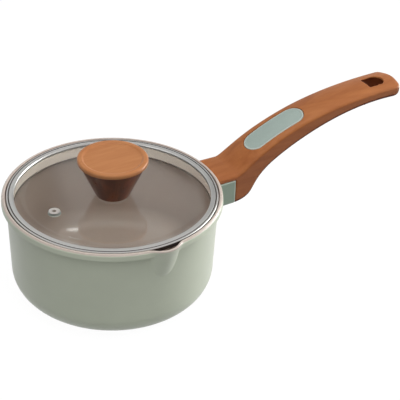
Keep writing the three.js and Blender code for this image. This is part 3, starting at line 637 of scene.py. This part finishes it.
def base_disc():
    """The steel disc under the pan, with shallow rings in its face."""
    edge, deep = 0.3, 0.12
    path = [(0, 0.0)]
    for r in range(8, 51, 6):
        path += [(r - 0.5, 0.0), (r - 0.2, deep), (r + 0.2, deep), (r + 0.5, 0.0)]
    path += [(DISC_RADIUS - edge, 0.0), (DISC_RADIUS - 0.08, 0.08), (DISC_RADIUS, edge)]
    path += [(DISC_RADIUS, DISC_THICKNESS), (0, DISC_THICKNESS)]
    mesh = turned("base_disc", path, 128)
    return make_piece(
        "base_disc", mesh, "pan", [disc_steel], ("induction_disc",), sharp=30
    )


pan_shell()
base_disc()

# ---- lid -------------------------------------------------------------------------------------


def lid_rim():
    """The steel band: over the glass, round its edge, and down inside the pan as a skirt."""
    on_glass = GLASS_TOP + 0.05
    top = GLASS_TOP + RIM_RISE
    skirt_end = -SKIRT_DROP
    outer = rounded(
        [
            (FLANGE_EDGE, on_glass, 0),
            (FLANGE_EDGE + 0.3, top, 0.75),
            (RIM_GROOVE - 0.4, top - 0.42, 0.3),
            (RIM_GROOVE, top - 0.95, 0),
        ],
        6,
    )
    outer += arc(RIM_RADIUS - RIM_BEAD, top - 0.3 - RIM_BEAD, RIM_BEAD, 150, 0, 10)
    outer += rounded(
        [
            (RIM_RADIUS, 1.6, 0),
            (RIM_RADIUS, 0, 0.8),
            (SKIRT, 0, 0.3),
            (SKIRT, skirt_end + 1.2, 0),
        ],
        5,
    )
    outer += arc(SKIRT - SKIRT_CURL, skirt_end + SKIRT_CURL, SKIRT_CURL, 0, -180, 8)
    inner = [(SKIRT - 2 * SKIRT_CURL, skirt_end + 1.0), (SKIRT - 0.9, skirt_end + 1.1)]
    inner += [(SKIRT - RIM_STEEL, skirt_end + 1.3), (SKIRT - RIM_STEEL, GLASS_LOW)]
    inner += [(RIM_RADIUS - RIM_STEEL, GLASS_LOW), (RIM_RADIUS - RIM_STEEL, GLASS_TOP - 0.6)]
    inner += [(GLASS_RADIUS + 0.2, on_glass + 0.02), (FLANGE_EDGE + 0.5, on_glass + 0.02)]
    path = [(r, z + SEAT_Z) for r, z in outer + inner]
    mesh = turned("steel_rim", path, 224, closed=True)

    bright, pale, curl, seal, dark = range(5)

    def pick(centre, normal):
        """Painted shade in the groove, low on the outer side and on the skirt's curl, a pale tint
        on the skirt as a painted reflection, else bright.
        """
        r = hypot(centre[0], centre[1])
        up = centre[2] - SEAT_Z
        # Painted shade on the skirt's curl
        if up < skirt_end + 1.35:
            return curl
        if abs(up - GLASS_LOW) < 0.1 and normal[2] > 0.5:
            return seal
        # Painted shade in the groove
        if -0.4 < r - RIM_GROOVE < 0.5 and up > top - 1.2 and normal[2] > 0:
            return dark
        # Painted shade low on the rim's outer side, in the gap by the lip
        if r > RIM_RADIUS - 0.25 and up > 0.8:
            return bright if up > GLASS_TOP - 0.2 else dark
        inside = r < SKIRT - 0.2
        # Painted reflection: the skirt and the steel under the glass's edge take the pale warm
        # tint
        return pale if up < -0.2 or inside and up < GLASS_LOW else bright

    steels = [rim_steel, skirt_steel, curl_steel, seal_grey, groove_steel]
    return make_piece("steel_rim", mesh, "lid", steels, ("lid_rim",), pick, 32)


def hole_cutter(name, radius, centre):
    path = [(0, SEAT_Z - 5), (radius, SEAT_Z - 5), (radius, SEAT_Z + 8), (0, SEAT_Z + 8)]
    return turned(name, path, 48, centre=centre)


def lid_pane():
    low, high = SEAT_Z + GLASS_LOW, SEAT_Z + GLASS_TOP
    straight = GLASS_RADIUS - GLASS_EDGE
    path = [(r, low) for r in (0, 20, 45, 65)]
    path += arc(straight, low + GLASS_EDGE, GLASS_EDGE, -90, 0, 5)
    path += arc(straight, high - GLASS_EDGE, GLASS_EDGE, 0, 90, 5)
    path += [(r, high) for r in (65, 45, 20, 0)]
    pane = turned("lid_pane", path, 192)
    bore = hole_cutter("bore", BOLT_HOLE, (0, 0))
    vent = hole_cutter("vent", VENT_HOLE, VENT)
    mesh = combined(pane, [bore, vent], "DIFFERENCE")
    return make_piece("lid_pane", mesh, "lid", [glass], ("lid_glass",), sharp=30)


def vent_ring():
    """The vent's eyelet: a flange on the glass, a tube through it and a rolled end below."""
    z = SEAT_Z + GLASS_TOP
    low = z - (GLASS_TOP - GLASS_LOW) - VENT_WASHER
    bore, tube, flange, roll = 1.5, 2.5, 4.3, 3.6
    path = rounded(
        [
            (bore, low - 0.95, 0),
            (roll - 0.4, low - 0.95, 0.1),
            (roll, low - 0.5, 0.15),
            (roll, low - 0.05, 0.05),
            (tube, low - 0.05, 0),
            (tube, z, 0),
            (flange, z, 0.05),
            (flange + 0.05, z + 0.2, 0.1),
            (flange - 0.3, z + 0.4, 0.15),
            (bore + 0.3, z + 0.4, 0.15),
            (bore, z + 0.1, 0.1),
        ],
        4,
    )
    mesh = turned("vent_ring", path, 64, closed=True, centre=VENT)
    return make_piece(
        "vent_ring", mesh, "lid", [vent_steel], ("vent_eyelet",), sharp=40
    )


def lid_knob():
    """A disc with a sunk field on an upside-down cone, hollow below for its insert."""
    z = SEAT_Z + GLASS_TOP
    top = KNOB_HEIGHT
    under = top - KNOB_DISC_HEIGHT
    field = top - KNOB_SUNK
    path = [(0, 13.1), (4.1, 13.1), (4.1, 1), (11.3, 1), (11.3, 0.3)]
    path += rounded(
        [
            (11.4, 0.3, 0),
            (13, 0.3, 0.5),
            (25.5, under + 0.1, 0.6),
            (KNOB_DISC, under + 0.5, 0.7),
            (KNOB_DISC, top - 2, 0),
        ],
        6,
    )
    path += arc(KNOB_DISC - 1.7, top - 1.7, 1.7, 0, 90, 8)
    path += rounded(
        [
            (KNOB_DISC - 2.2, top, 0),
            (KNOB_DISC - 3.6, top, 0.9),
            (KNOB_DISC - 5.0, field, 1.2),
            (KNOB_DISC - 8, field, 0),
        ],
        6,
    )
    path += [(14, field), (8, field), (0, field)]
    mesh = turned("lid_knob", [(r, h + z) for r, h in path], 160)

    def pick(centre, normal):
        # Painted shade: the cone under the disc takes a darker copy of the wood
        return 1 if centre[2] < z + under + 0.3 else 0

    return make_piece(
        "lid_knob", mesh, "lid", [knob_wood, dark_wood], ("knob",), pick, 34
    )


lid_rim()
lid_pane()
vent_ring()
lid_knob()

# ---- handle, in its own frame, as (along, across, up) ----------------------------------------

CURVE_POINTS = 120


def bezier(start, start_angle, start_pull, end, end_angle, end_pull):
    """Points of a curve that leaves its start and reaches its end at given angles, in degrees."""
    a, d = np.array(start, float), np.array(end, float)
    out, back = radians(start_angle), radians(end_angle)
    b = a + start_pull * np.array([cos(out), sin(out)])
    c = d - end_pull * np.array([cos(back), sin(back)])
    t = np.linspace(0, 1, CURVE_POINTS)[:, None]
    return a * (1 - t) ** 3 + b * 3 * t * (1 - t) ** 2 + c * 3 * t**2 * (1 - t) + d * t**3


BEHIND = -16  # where both lines start, inside the pan's wall
ELBOW_ANGLE = 27.5
top_line = np.vstack([[(BEHIND, 0)], bezier((FOLD, 0), 11.2, 11.8, (REACH, TIP_TOP), -0.9, 120)])
under_line = np.vstack(
    [
        [(BEHIND, -ROOT_DEPTH)],
        bezier((19.5, -ROOT_DEPTH), 4, 25, ELBOW, ELBOW_ANGLE, 35.2),
        bezier(ELBOW, ELBOW_ANGLE, 72.6, (REACH, TIP_UNDER), -0.2, 12)[1:],
    ]
)


def top_at(along):
    return float(np.interp(along, top_line[:, 0], top_line[:, 1]))


def under_at(along):
    return float(np.interp(along, under_line[:, 0], under_line[:, 1]))


def half_width(along):
    width = ROOT_WIDTH + (WAIST_WIDTH - ROOT_WIDTH) * smooth_step(along, 0, WAIST)
    width -= TIP_NARROWING * smooth_step(along, WAIST, NARROWED)
    into = max(0, (along - REACH + TIP_ROUND) / TIP_ROUND)
    return width / 2 * max(0, 1 - into**TIP_POWER) ** (1 / TIP_POWER)


def crown_at(along):
    """Height of the arch of the handle's top, which starts flat at the pan."""
    return CROWN * smooth_step(along, 0, INLAY_START)


def end_inset(along, radius):
    """How far an edge is drawn in by the rounding of the tip, seen from the side."""
    into = max(0, along - REACH + radius)
    return radius - sqrt(max(0, radius**2 - into**2))


def grip_section(along):
    half = half_width(along)
    top = top_at(along) - end_inset(along, TOP_ROUND)
    under = under_at(along) + end_inset(along, UNDER_ROUND)
    upper = min(EDGE_TOP, half * 0.8, (top - under) * 0.4)
    lower = min(EDGE_UNDER, half * 0.8, (top - under) * 0.4)
    flat = half - upper
    ys = np.linspace(flat, -flat, 17)[1:-1]
    outline = arc(flat, top - upper, upper, 0, 90, 7)
    outline += [(y, top + crown_at(along) * (1 - (y / flat) ** 2)) for y in ys]
    outline += arc(-flat, top - upper, upper, 90, 180, 7)
    outline += arc(lower - half, under + lower, lower, 180, 270, 7)
    outline += [(y, under) for y in np.linspace(lower - half, half - lower, 9)[1:-1]]
    outline += arc(half - lower, under + lower, lower, 270, 360, 7)
    return [(along, y, z) for y, z in outline]


def numbered(sections):
    """The numbers of the points of each section, when all are put in one list."""
    count = len(sections[0])
    return [list(range(s * count, (s + 1) * count)) for s in range(len(sections))]


def loft(name, sections):
    """A closed skin through rows of equally many points."""
    rings = numbered(sections)
    points = [p for section in sections for p in section]
    ends = [tuple(reversed(rings[0])), tuple(rings[-1])]
    return mesh_of(name, points, bands(rings) + ends)


def prism(name, outline, low, high):
    """An outline in plan, as (along, y) points, raised from low to high."""
    return loft(name, [[(x, y, z) for x, y in outline] for z in (low, high)])


def circle(radius, count):
    turns = [2 * pi * i / count for i in range(count)]
    return [(radius * cos(a), radius * sin(a)) for a in turns]


def rod(name, radius, start, end, height):
    """A rod along the handle, at a height over its tongue."""
    ring = circle(radius, 64)
    return loft(name, [[(x, y, z + height) for y, z in ring] for x in (start, end)])


def block(name, low, high):
    corners = [(low[0], low[1]), (high[0], low[1]), (high[0], high[1]), (low[0], high[1])]
    return prism(name, corners, low[2], high[2])


def pan_cutter():
    """The outside of the pan with a gap round it, moved to the handle's frame."""
    bend = arc(WALL_LOW - BEND, BASE_Z + BEND, BEND, -90, 0, 10)
    path = [(0, BASE_Z)] + [(r + GAP, z) for r, z in bend]
    path += [(WALL_TOP + GAP, UNDERCUT_Z), (BAND_RADIUS - 0.4 + GAP, BAND_BOTTOM - 0.3)]
    path += [(BAND_RADIUS + GAP, BAND_BOTTOM + 0.4)]
    path += [(BAND_RADIUS + GAP, PAN_HEIGHT + 3), (0, PAN_HEIGHT + 3)]
    mesh = turned("pan_cutter", path, 288)
    mesh.transform(Matrix.Translation((-HANDLE_X, 0, -HANDLE_Z)))
    return mesh


inlay_rise = top_at(INLAY_END) - top_at(INLAY_START)
inlay_tilt = atan2(inlay_rise, INLAY_END - INLAY_START)
inlay_middle = ((INLAY_START + INLAY_END) / 2, (top_at(INLAY_START) + top_at(INLAY_END)) / 2)
inlay_straight = hypot(inlay_rise, INLAY_END - INLAY_START) / 2 - INLAY_WIDTH / 2


def inlay_frame(u, w):
    """A point along and square to the inlay's slope, as along and up."""
    c, s = cos(inlay_tilt), sin(inlay_tilt)
    return (inlay_middle[0] + u * c - w * s, inlay_middle[1] + u * s + w * c)


def crown_over(u):
    """Height of the crown of the handle's top over the inlay's chord."""
    along = np.linspace(INLAY_START - 12, INLAY_END + 12, 80)
    up = np.array([top_at(a) + crown_at(a) for a in along])
    c, s = cos(inlay_tilt), sin(inlay_tilt)
    us = (along - inlay_middle[0]) * c + (up - inlay_middle[1]) * s
    ws = -(along - inlay_middle[0]) * s + (up - inlay_middle[1]) * c
    return float(np.interp(u, us, ws))


def stadium(inset):
    """Outline of the inlay, drawn in by an inset: a long side, an end, and the same again."""
    steps = 24
    radius = max(0, INLAY_WIDTH / 2 - inset)
    s = inlay_straight
    points = [(s - 2 * s * i / steps, radius) for i in range(steps)]
    points += arc(-s, 0, radius, 90, 270, 20)[:-1]
    points += [(-s + 2 * s * i / steps, -radius) for i in range(steps)]
    points += arc(s, 0, radius, -90, 90, 20)[:-1]
    return points


INLAY_SUNK = 0.35  # the inlay's rim, under the crown of the handle's top
CROWN_HALF = 13.3  # half the width over which the top arches


def inlay_ring(inset, height):
    """The inlay's outline, drawn in by an inset and laid at a height along the handle's top."""
    ring = []
    for u, v in stadium(inset):
        across = CROWN * (v / CROWN_HALF) ** 2
        along, up = inlay_frame(u, crown_over(u) - INLAY_SUNK - across + height)
        ring.append((along, v, up))
    return ring


def inlay_recess():
    deep = inlay_ring(-GAP, -2 - GAP)
    high = inlay_ring(-GAP, 14)
    return loft("inlay_recess", [deep, high])


TIP_STATIONS = (0.15, 0.3, 0.42, 0.54, 0.64, 0.73, 0.8, 0.86, 0.91, 0.95, 0.975, 0.99, 0.998)


def handle_form():
    near = list(np.linspace(-12, FOLD, 24)) + list(np.linspace(FOLD + 0.8, 62, 40))
    far = list(np.linspace(63.5, REACH - TIP_ROUND, 76))
    end = [REACH - TIP_ROUND + TIP_ROUND * t for t in TIP_STATIONS]
    return loft("handle_form", [grip_section(a) for a in near + far + end])


def hole_outline():
    """The hanging hole in plan: round towards the tip, square towards the pan."""
    end = REACH - HOLE_TO_TIP
    corner = end - HOLE_LENGTH + HOLE_CORNER
    side = HOLE_RADIUS - HOLE_CORNER
    outline = arc(end - HOLE_RADIUS, 0, HOLE_RADIUS, -90, 90, 24)
    outline += arc(corner, side, HOLE_CORNER, 90, 180, 4)
    outline += arc(corner, -side, HOLE_CORNER, 180, 270, 4)
    return outline


def underside_rib():
    along = REACH - HOLE_TO_TIP - HOLE_LENGTH - RIB_TO_HOLE
    length = half_width(along) - 3.2
    base = under_at(along) + RIB_RADIUS / 2
    ring = circle(RIB_RADIUS, 40)
    sections = [[(along + x, y, base + z) for x, z in ring] for y in (-length, length)]
    return loft("underside_rib", sections)


to_pan = Matrix.Translation((HANDLE_X, 0, HANDLE_Z))


def handle_grip():
    past = SCREW_SEAT + ROOT_DEPTH
    body = combined(handle_form(), [underside_rib()], "UNION")
    cutters = [
        block("guard_space", (-20, -40, -60), (GUARD_END + GAP, 40, GUARD_TOP + GAP)),
        pan_cutter(),
        rod("screw_hole", BOLT_HOLE, -20, past, SCREW_UP),
        rod("counterbore", COUNTERBORE, SCREW_SEAT, past + 4, SCREW_UP),
        inlay_recess(),
        prism("hole", hole_outline(), 0, 80),
    ]
    mesh = softened(combined(body, cutters, "DIFFERENCE"), voxel=0.5, rounds=3)
    mesh.transform(to_pan)
    middle = np.array(hole_outline()).mean(0)
    warm, deep, side = range(3)

    def pick(centre, normal):
        """Painted shade: darker wood on the underside and lower edge, the tip's lower corner and
        the hole's walls, and a darker copy on the upright sides.
        """
        along, up = centre[0] - HANDLE_X, centre[2] - HANDLE_Z
        below_top = top_at(along) - up
        low_edge = normal[2] < 0.2 and up < under_at(along) + 3
        # Painted shade on the underside and along the lower edge of the sides
        if below_top > 4 and (normal[2] < -0.25 or low_edge):
            return deep
        # Painted shade on the tip's lower corner
        if normal[0] > 0.3 and below_top > 2 and along > REACH - 9:
            return deep
        x, y = along - middle[0], centre[1] - middle[1]
        near_hole = abs(x) <= HOLE_LENGTH / 2 + 0.9 and abs(y) <= HOLE_RADIUS + 0.6
        if not near_hole or abs(normal[2]) > 0.5:
            # Painted shade: the upright sides take a darker copy of the wood
            return side if abs(normal[1]) > 0.75 and below_top > 1.5 else warm
        faces_hole = normal[0] * x + normal[1] * y < 0
        # Painted shade on the walls of the hanging hole
        return deep if below_top > -0.4 and faces_hole else warm

    return make_piece(
        "wood_grip",
        mesh,
        "pan",
        [warm_wood, deep_wood, side_wood],
        ("handle_grip",),
        pick,
        0,
    )


def guard_section(along):
    """The sleeve's outline: square upper corners, round lower ones, drawn in at its end."""
    into = max(0, along - (GUARD_END - GUARD_ROUND))
    inset = GUARD_ROUND - sqrt(max(0, GUARD_ROUND**2 - into**2))
    half = half_width(along) - inset
    top, under = GUARD_TOP - inset, -ROOT_DEPTH + inset
    tight, wide = 0.7, EDGE_UNDER
    outline = arc(half - tight, top - tight, tight, 0, 90, 5)
    outline += arc(tight - half, top - tight, tight, 90, 180, 5)
    outline += arc(wide - half, under + wide, wide, 180, 270, 7)
    outline += arc(half - wide, under + wide, wide, 270, 360, 7)
    return [(along, y, z) for y, z in outline]


def flame_guard():
    stations = list(np.linspace(-8, 19.4, 14)) + [19.5, 19.75, 19.95, 20.1, 20.22, 20.29]
    body = loft("guard_body", [guard_section(a) for a in stations])
    cutters = [
        pan_cutter(),
        block("guard_inside", (-20, -15.6, 2.4 - ROOT_DEPTH), (17.3, 15.6, -6.7)),
        rod("guard_hole", BOLT_HOLE, 5, 40, SCREW_UP),
    ]
    mesh = softened(combined(body, cutters, "DIFFERENCE"), voxel=0.36, rounds=2)
    mesh.transform(to_pan)

    def pick(centre, normal):
        along, up = centre[0] - HANDLE_X, centre[2] - HANDLE_Z
        # Painted highlight: the sides along the sleeve's end and top edges take a lighter coat
        edge = along > GUARD_END - 1.1 or up > GUARD_TOP - 1.0
        return 1 if edge and abs(normal[1]) > 0.3 else 0

    return make_piece(
        "guard_sleeve",
        mesh,
        "pan",
        [guard_coat, guard_edge],
        ("flame_guard",),
        pick,
        0,
    )


def handle_inlay():
    """A pad with a narrow raised border round a slightly sunk field, from rows of rings."""
    rows = [(0.25, -2.0), (0, -1.8), (0, -0.35), (0.1, -0.15), (0.3, 0), (1.0, 0), (1.25, -0.12)]
    rows += [(1.4, -0.2), (3, -0.16), (5, -0.06), (7, 0), (INLAY_WIDTH / 2, 0.02)]
    rings = [inlay_ring(inset, height) for inset, height in rows]
    rings.insert(0, inlay_ring(INLAY_WIDTH / 2, -2.0))
    mesh = mesh_of("inlay", [p for ring in rings for p in ring], bands(numbered(rings)))
    mesh.transform(to_pan)
    bm = bmesh.new()
    bm.from_mesh(mesh)
    bmesh.ops.dissolve_degenerate(bm, edges=bm.edges, dist=1e-4)
    bm.to_mesh(mesh)
    bm.free()

    def pick(centre, normal):
        x, y, z = centre
        u = (x - HANDLE_X - inlay_middle[0]) * cos(inlay_tilt)
        u += (z - HANDLE_Z - inlay_middle[1]) * sin(inlay_tilt)
        beyond = max(0, abs(u) - inlay_straight)
        return 1 if INLAY_WIDTH / 2 - hypot(beyond, y) < INLAY_BORDER else 0

    return make_piece(
        "inlay",
        mesh,
        "pan",
        [inlay_pad, inlay_border],
        ("handle_inlay",),
        pick,
        40,
    )


handle_grip()
flame_guard()
handle_inlay()

# ---- small parts that keep their CAD shape ---------------------------------------------------

small_parts = {
    "handle_stud": stud_metal,
    "flat_washer": screw_steel,
    "spring_washer": screw_steel,
    "handle_screw": screw_steel,
    "vent_washer": silicone,
    "knob_insert": insert_brass,
    "knob_gasket_upper": silicone,
    "knob_gasket_lower": silicone,
    "knob_washer": screw_steel,
    "knob_screw": screw_steel,
}
for node_name, look in small_parts.items():
    for material_slot in bpy.data.objects[node_name].material_slots:
        material_slot.material = look

# ---- studio, in metres -----------------------------------------------------------------------

WORLD_LIGHT = 0.08  # strength at which the world lights the object
SKY_GREY = 0.85
PANEL_DARK = 0.08
WINDOW_BRIGHT = 0.65

# Bounds of the world's parts, as soft steps in the x, y or z of a direction
SKY_Z = (0.2, 0.4)
PANEL_X = (0.22, 0.3)
PANEL_Y = (0.5, 0.6)
PANEL_BOTTOM_Z = (0.36, 0.46)
PANEL_TOP_Z = (0.58, 0.66)
WINDOW_X = (0.342, 0.38)
WINDOW_SILL = (0.21, 0.234)
SILL_SLOPE = -0.68

FLOOR_REACH = 4.0
# Painted pool of light: the floor's grey is lighter near the middle than further out, to light the
# pan from below
FLOOR_POOL_NEAR = (0.1, 0.4)  # distance from the middle and shade there
FLOOR_POOL_FAR = (0.5, 0.3)
FLOOR_GLOW = 1.13
FLOOR_GLOW_SHARE = 0.86  # the rest of the floor's look keeps the object's shadow


def studio_rays(nodes, links):
    """1 for rays from the camera, from gloss and through glass, else 0."""
    path = nodes.new("ShaderNodeLightPath")
    total = path.outputs["Is Camera Ray"]
    for name in ("Is Glossy Ray", "Is Transmission Ray"):
        larger = nodes.new("ShaderNodeMath")
        larger.operation = "MAXIMUM"
        links.new(total, larger.inputs[0])
        links.new(path.outputs[name], larger.inputs[1])
        total = larger.outputs[0]
    return total


def make_world():
    """White near the horizon, grey overhead, and behind the pan a dark panel with a window."""
    world = bpy.data.worlds.new("studio")
    bpy.context.scene.world = world
    world.use_nodes = True
    nodes, links = world.node_tree.nodes, world.node_tree.links
    nodes.clear()
    seen, lit = nodes.new("ShaderNodeBackground"), nodes.new("ShaderNodeBackground")
    place, parts = nodes.new("ShaderNodeTexCoord"), nodes.new("ShaderNodeSeparateXYZ")
    links.new(place.outputs["Generated"], parts.inputs[0])
    x, y, z = parts.outputs

    def step(value, low, high, start=0.0, end=1.0):
        node = nodes.new("ShaderNodeMapRange")
        node.interpolation_type = "SMOOTHSTEP"
        links.new(value, node.inputs[0])
        for key, number in ((1, low), (2, high), (3, start), (4, end)):
            node.inputs[key].default_value = number
        return node.outputs[0]

    def product(a, b):
        node = nodes.new("ShaderNodeMath")
        node.operation = "MULTIPLY"
        links.new(a, node.inputs[0])
        links.new(b, node.inputs[1])
        return node.outputs[0]

    sky = step(z, *SKY_Z, 1.0, SKY_GREY)
    sill = nodes.new("ShaderNodeMath")
    sill.operation = "MULTIPLY_ADD"
    links.new(x, sill.inputs[0])
    sill.inputs[1].default_value = SILL_SLOPE
    links.new(z, sill.inputs[2])
    window = product(step(x, *WINDOW_X), step(sill.outputs[0], *WINDOW_SILL))
    upright = product(step(z, *PANEL_BOTTOM_Z), step(z, *PANEL_TOP_Z, 1.0, 0.0))
    behind = product(product(step(y, *PANEL_Y), upright), step(x, *PANEL_X))
    panel = nodes.new("ShaderNodeMix")
    links.new(behind, panel.inputs[0])
    links.new(sky, panel.inputs[2])
    links.new(step(window, 0.0, 1.0, PANEL_DARK, WINDOW_BRIGHT), panel.inputs[3])
    links.new(panel.outputs[0], seen.inputs[1])
    lit.inputs[0].default_value = (0.98, 0.99, 1, 1)
    lit.inputs[1].default_value = WORLD_LIGHT
    mixed, out = nodes.new("ShaderNodeMixShader"), nodes.new("ShaderNodeOutputWorld")
    links.new(studio_rays(nodes, links), mixed.inputs[0])
    links.new(lit.outputs[0], mixed.inputs[1])
    links.new(seen.outputs[0], mixed.inputs[2])
    links.new(mixed.outputs[0], out.inputs[0])


def make_floor():
    """A pale floor, white to the camera but for the shadow, and grey as far as it lights, lighter
    near the middle as a painted pool of light.
    """
    signs = ((-1, -1), (1, -1), (1, 1), (-1, 1))
    corners = [(x * FLOOR_REACH, y * FLOOR_REACH, 0) for x, y in signs]
    mesh = mesh_of("floor", corners, [(0, 1, 2, 3)])
    floor = plain_object("floor", mesh)
    material = bpy.data.materials.new("floor_white")
    material.use_nodes = True
    nodes, links = material.node_tree.nodes, material.node_tree.links
    nodes.clear()
    paper, glow = nodes.new("ShaderNodeBsdfDiffuse"), nodes.new("ShaderNodeEmission")
    place, away = nodes.new("ShaderNodeTexCoord"), nodes.new("ShaderNodeVectorMath")
    away.operation = "LENGTH"
    links.new(place.outputs["Object"], away.inputs[0])
    fade = nodes.new("ShaderNodeMapRange")
    links.new(away.outputs["Value"], fade.inputs[0])
    (near, shade_near), (far, shade_far) = FLOOR_POOL_NEAR, FLOOR_POOL_FAR
    for key, number in ((1, near), (2, far), (3, shade_near), (4, shade_far)):
        fade.inputs[key].default_value = number
    links.new(fade.outputs[0], paper.inputs[0])
    glow.inputs[0].default_value = (1, 1, 1, 1)
    glow.inputs[1].default_value = FLOOR_GLOW
    share = nodes.new("ShaderNodeMath")
    share.operation = "MULTIPLY"
    share.inputs[1].default_value = FLOOR_GLOW_SHARE
    links.new(studio_rays(nodes, links), share.inputs[0])
    mixed, out = nodes.new("ShaderNodeMixShader"), nodes.new("ShaderNodeOutputMaterial")
    links.new(share.outputs[0], mixed.inputs[0])
    links.new(paper.outputs[0], mixed.inputs[1])
    links.new(glow.outputs[0], mixed.inputs[2])
    links.new(mixed.outputs[0], out.inputs[0])
    mesh.materials.append(material)


def soft_light(name, place, target, size, power, in_gloss=True):
    """An area lamp of so many metres and watts. in_gloss says whether reflections show it."""
    lamp = bpy.data.lights.new(name, "AREA")
    lamp.shape = "RECTANGLE"
    lamp.size, lamp.size_y = size
    lamp.energy = power
    ob = bpy.data.objects.new(name, lamp)
    bpy.context.scene.collection.objects.link(ob)
    ob.location = place
    ob.rotation_euler = (Vector(target) - Vector(place)).to_track_quat("-Z", "Y").to_euler()
    ob.visible_glossy = in_gloss
    return lamp


def make_camera():
    camera = bpy.data.cameras.new("camera")
    camera.lens = 118.0
    camera.sensor_width = 36.0
    camera.clip_start, camera.clip_end = 0.01, 50
    ob = bpy.data.objects.new("camera", camera)
    bpy.context.scene.collection.objects.link(ob)
    ob.location = (-0.39669, -0.74606, 0.61706)
    ob.rotation_euler = (radians(57.379), radians(-2.034), radians(-31.218))
    bpy.context.scene.camera = ob


make_world()
make_floor()
make_camera()
middle = (0, 0, 0.05)
soft_light("key", (0.15, 0.1, 1.5), middle, (1.2, 1.2), 16.0, in_gloss=False)
soft_light("front", (-0.2, -0.75, 1.25), middle, (0.9, 0.9), 7.7, in_gloss=False)
soft_light("side", (1.47, -0.17, 0.3), (0, 0, 0.04), (0.8, 0.8), 21.5)
soft_light("fill", (-1.6, -0.3, 0.3), middle, (1.0, 1.0), 3)

# A small bright lamp that the glass mirrors as a streak
on_glass = (-0.047, -0.03, 0.081)
streak = soft_light("streak", (0.353, 0.79, 0.695), on_glass, (0.026, 0.0042), 0.0007)
streak.shape = "ELLIPSE"

bpy.context.scene.view_settings.view_transform = "Standard"
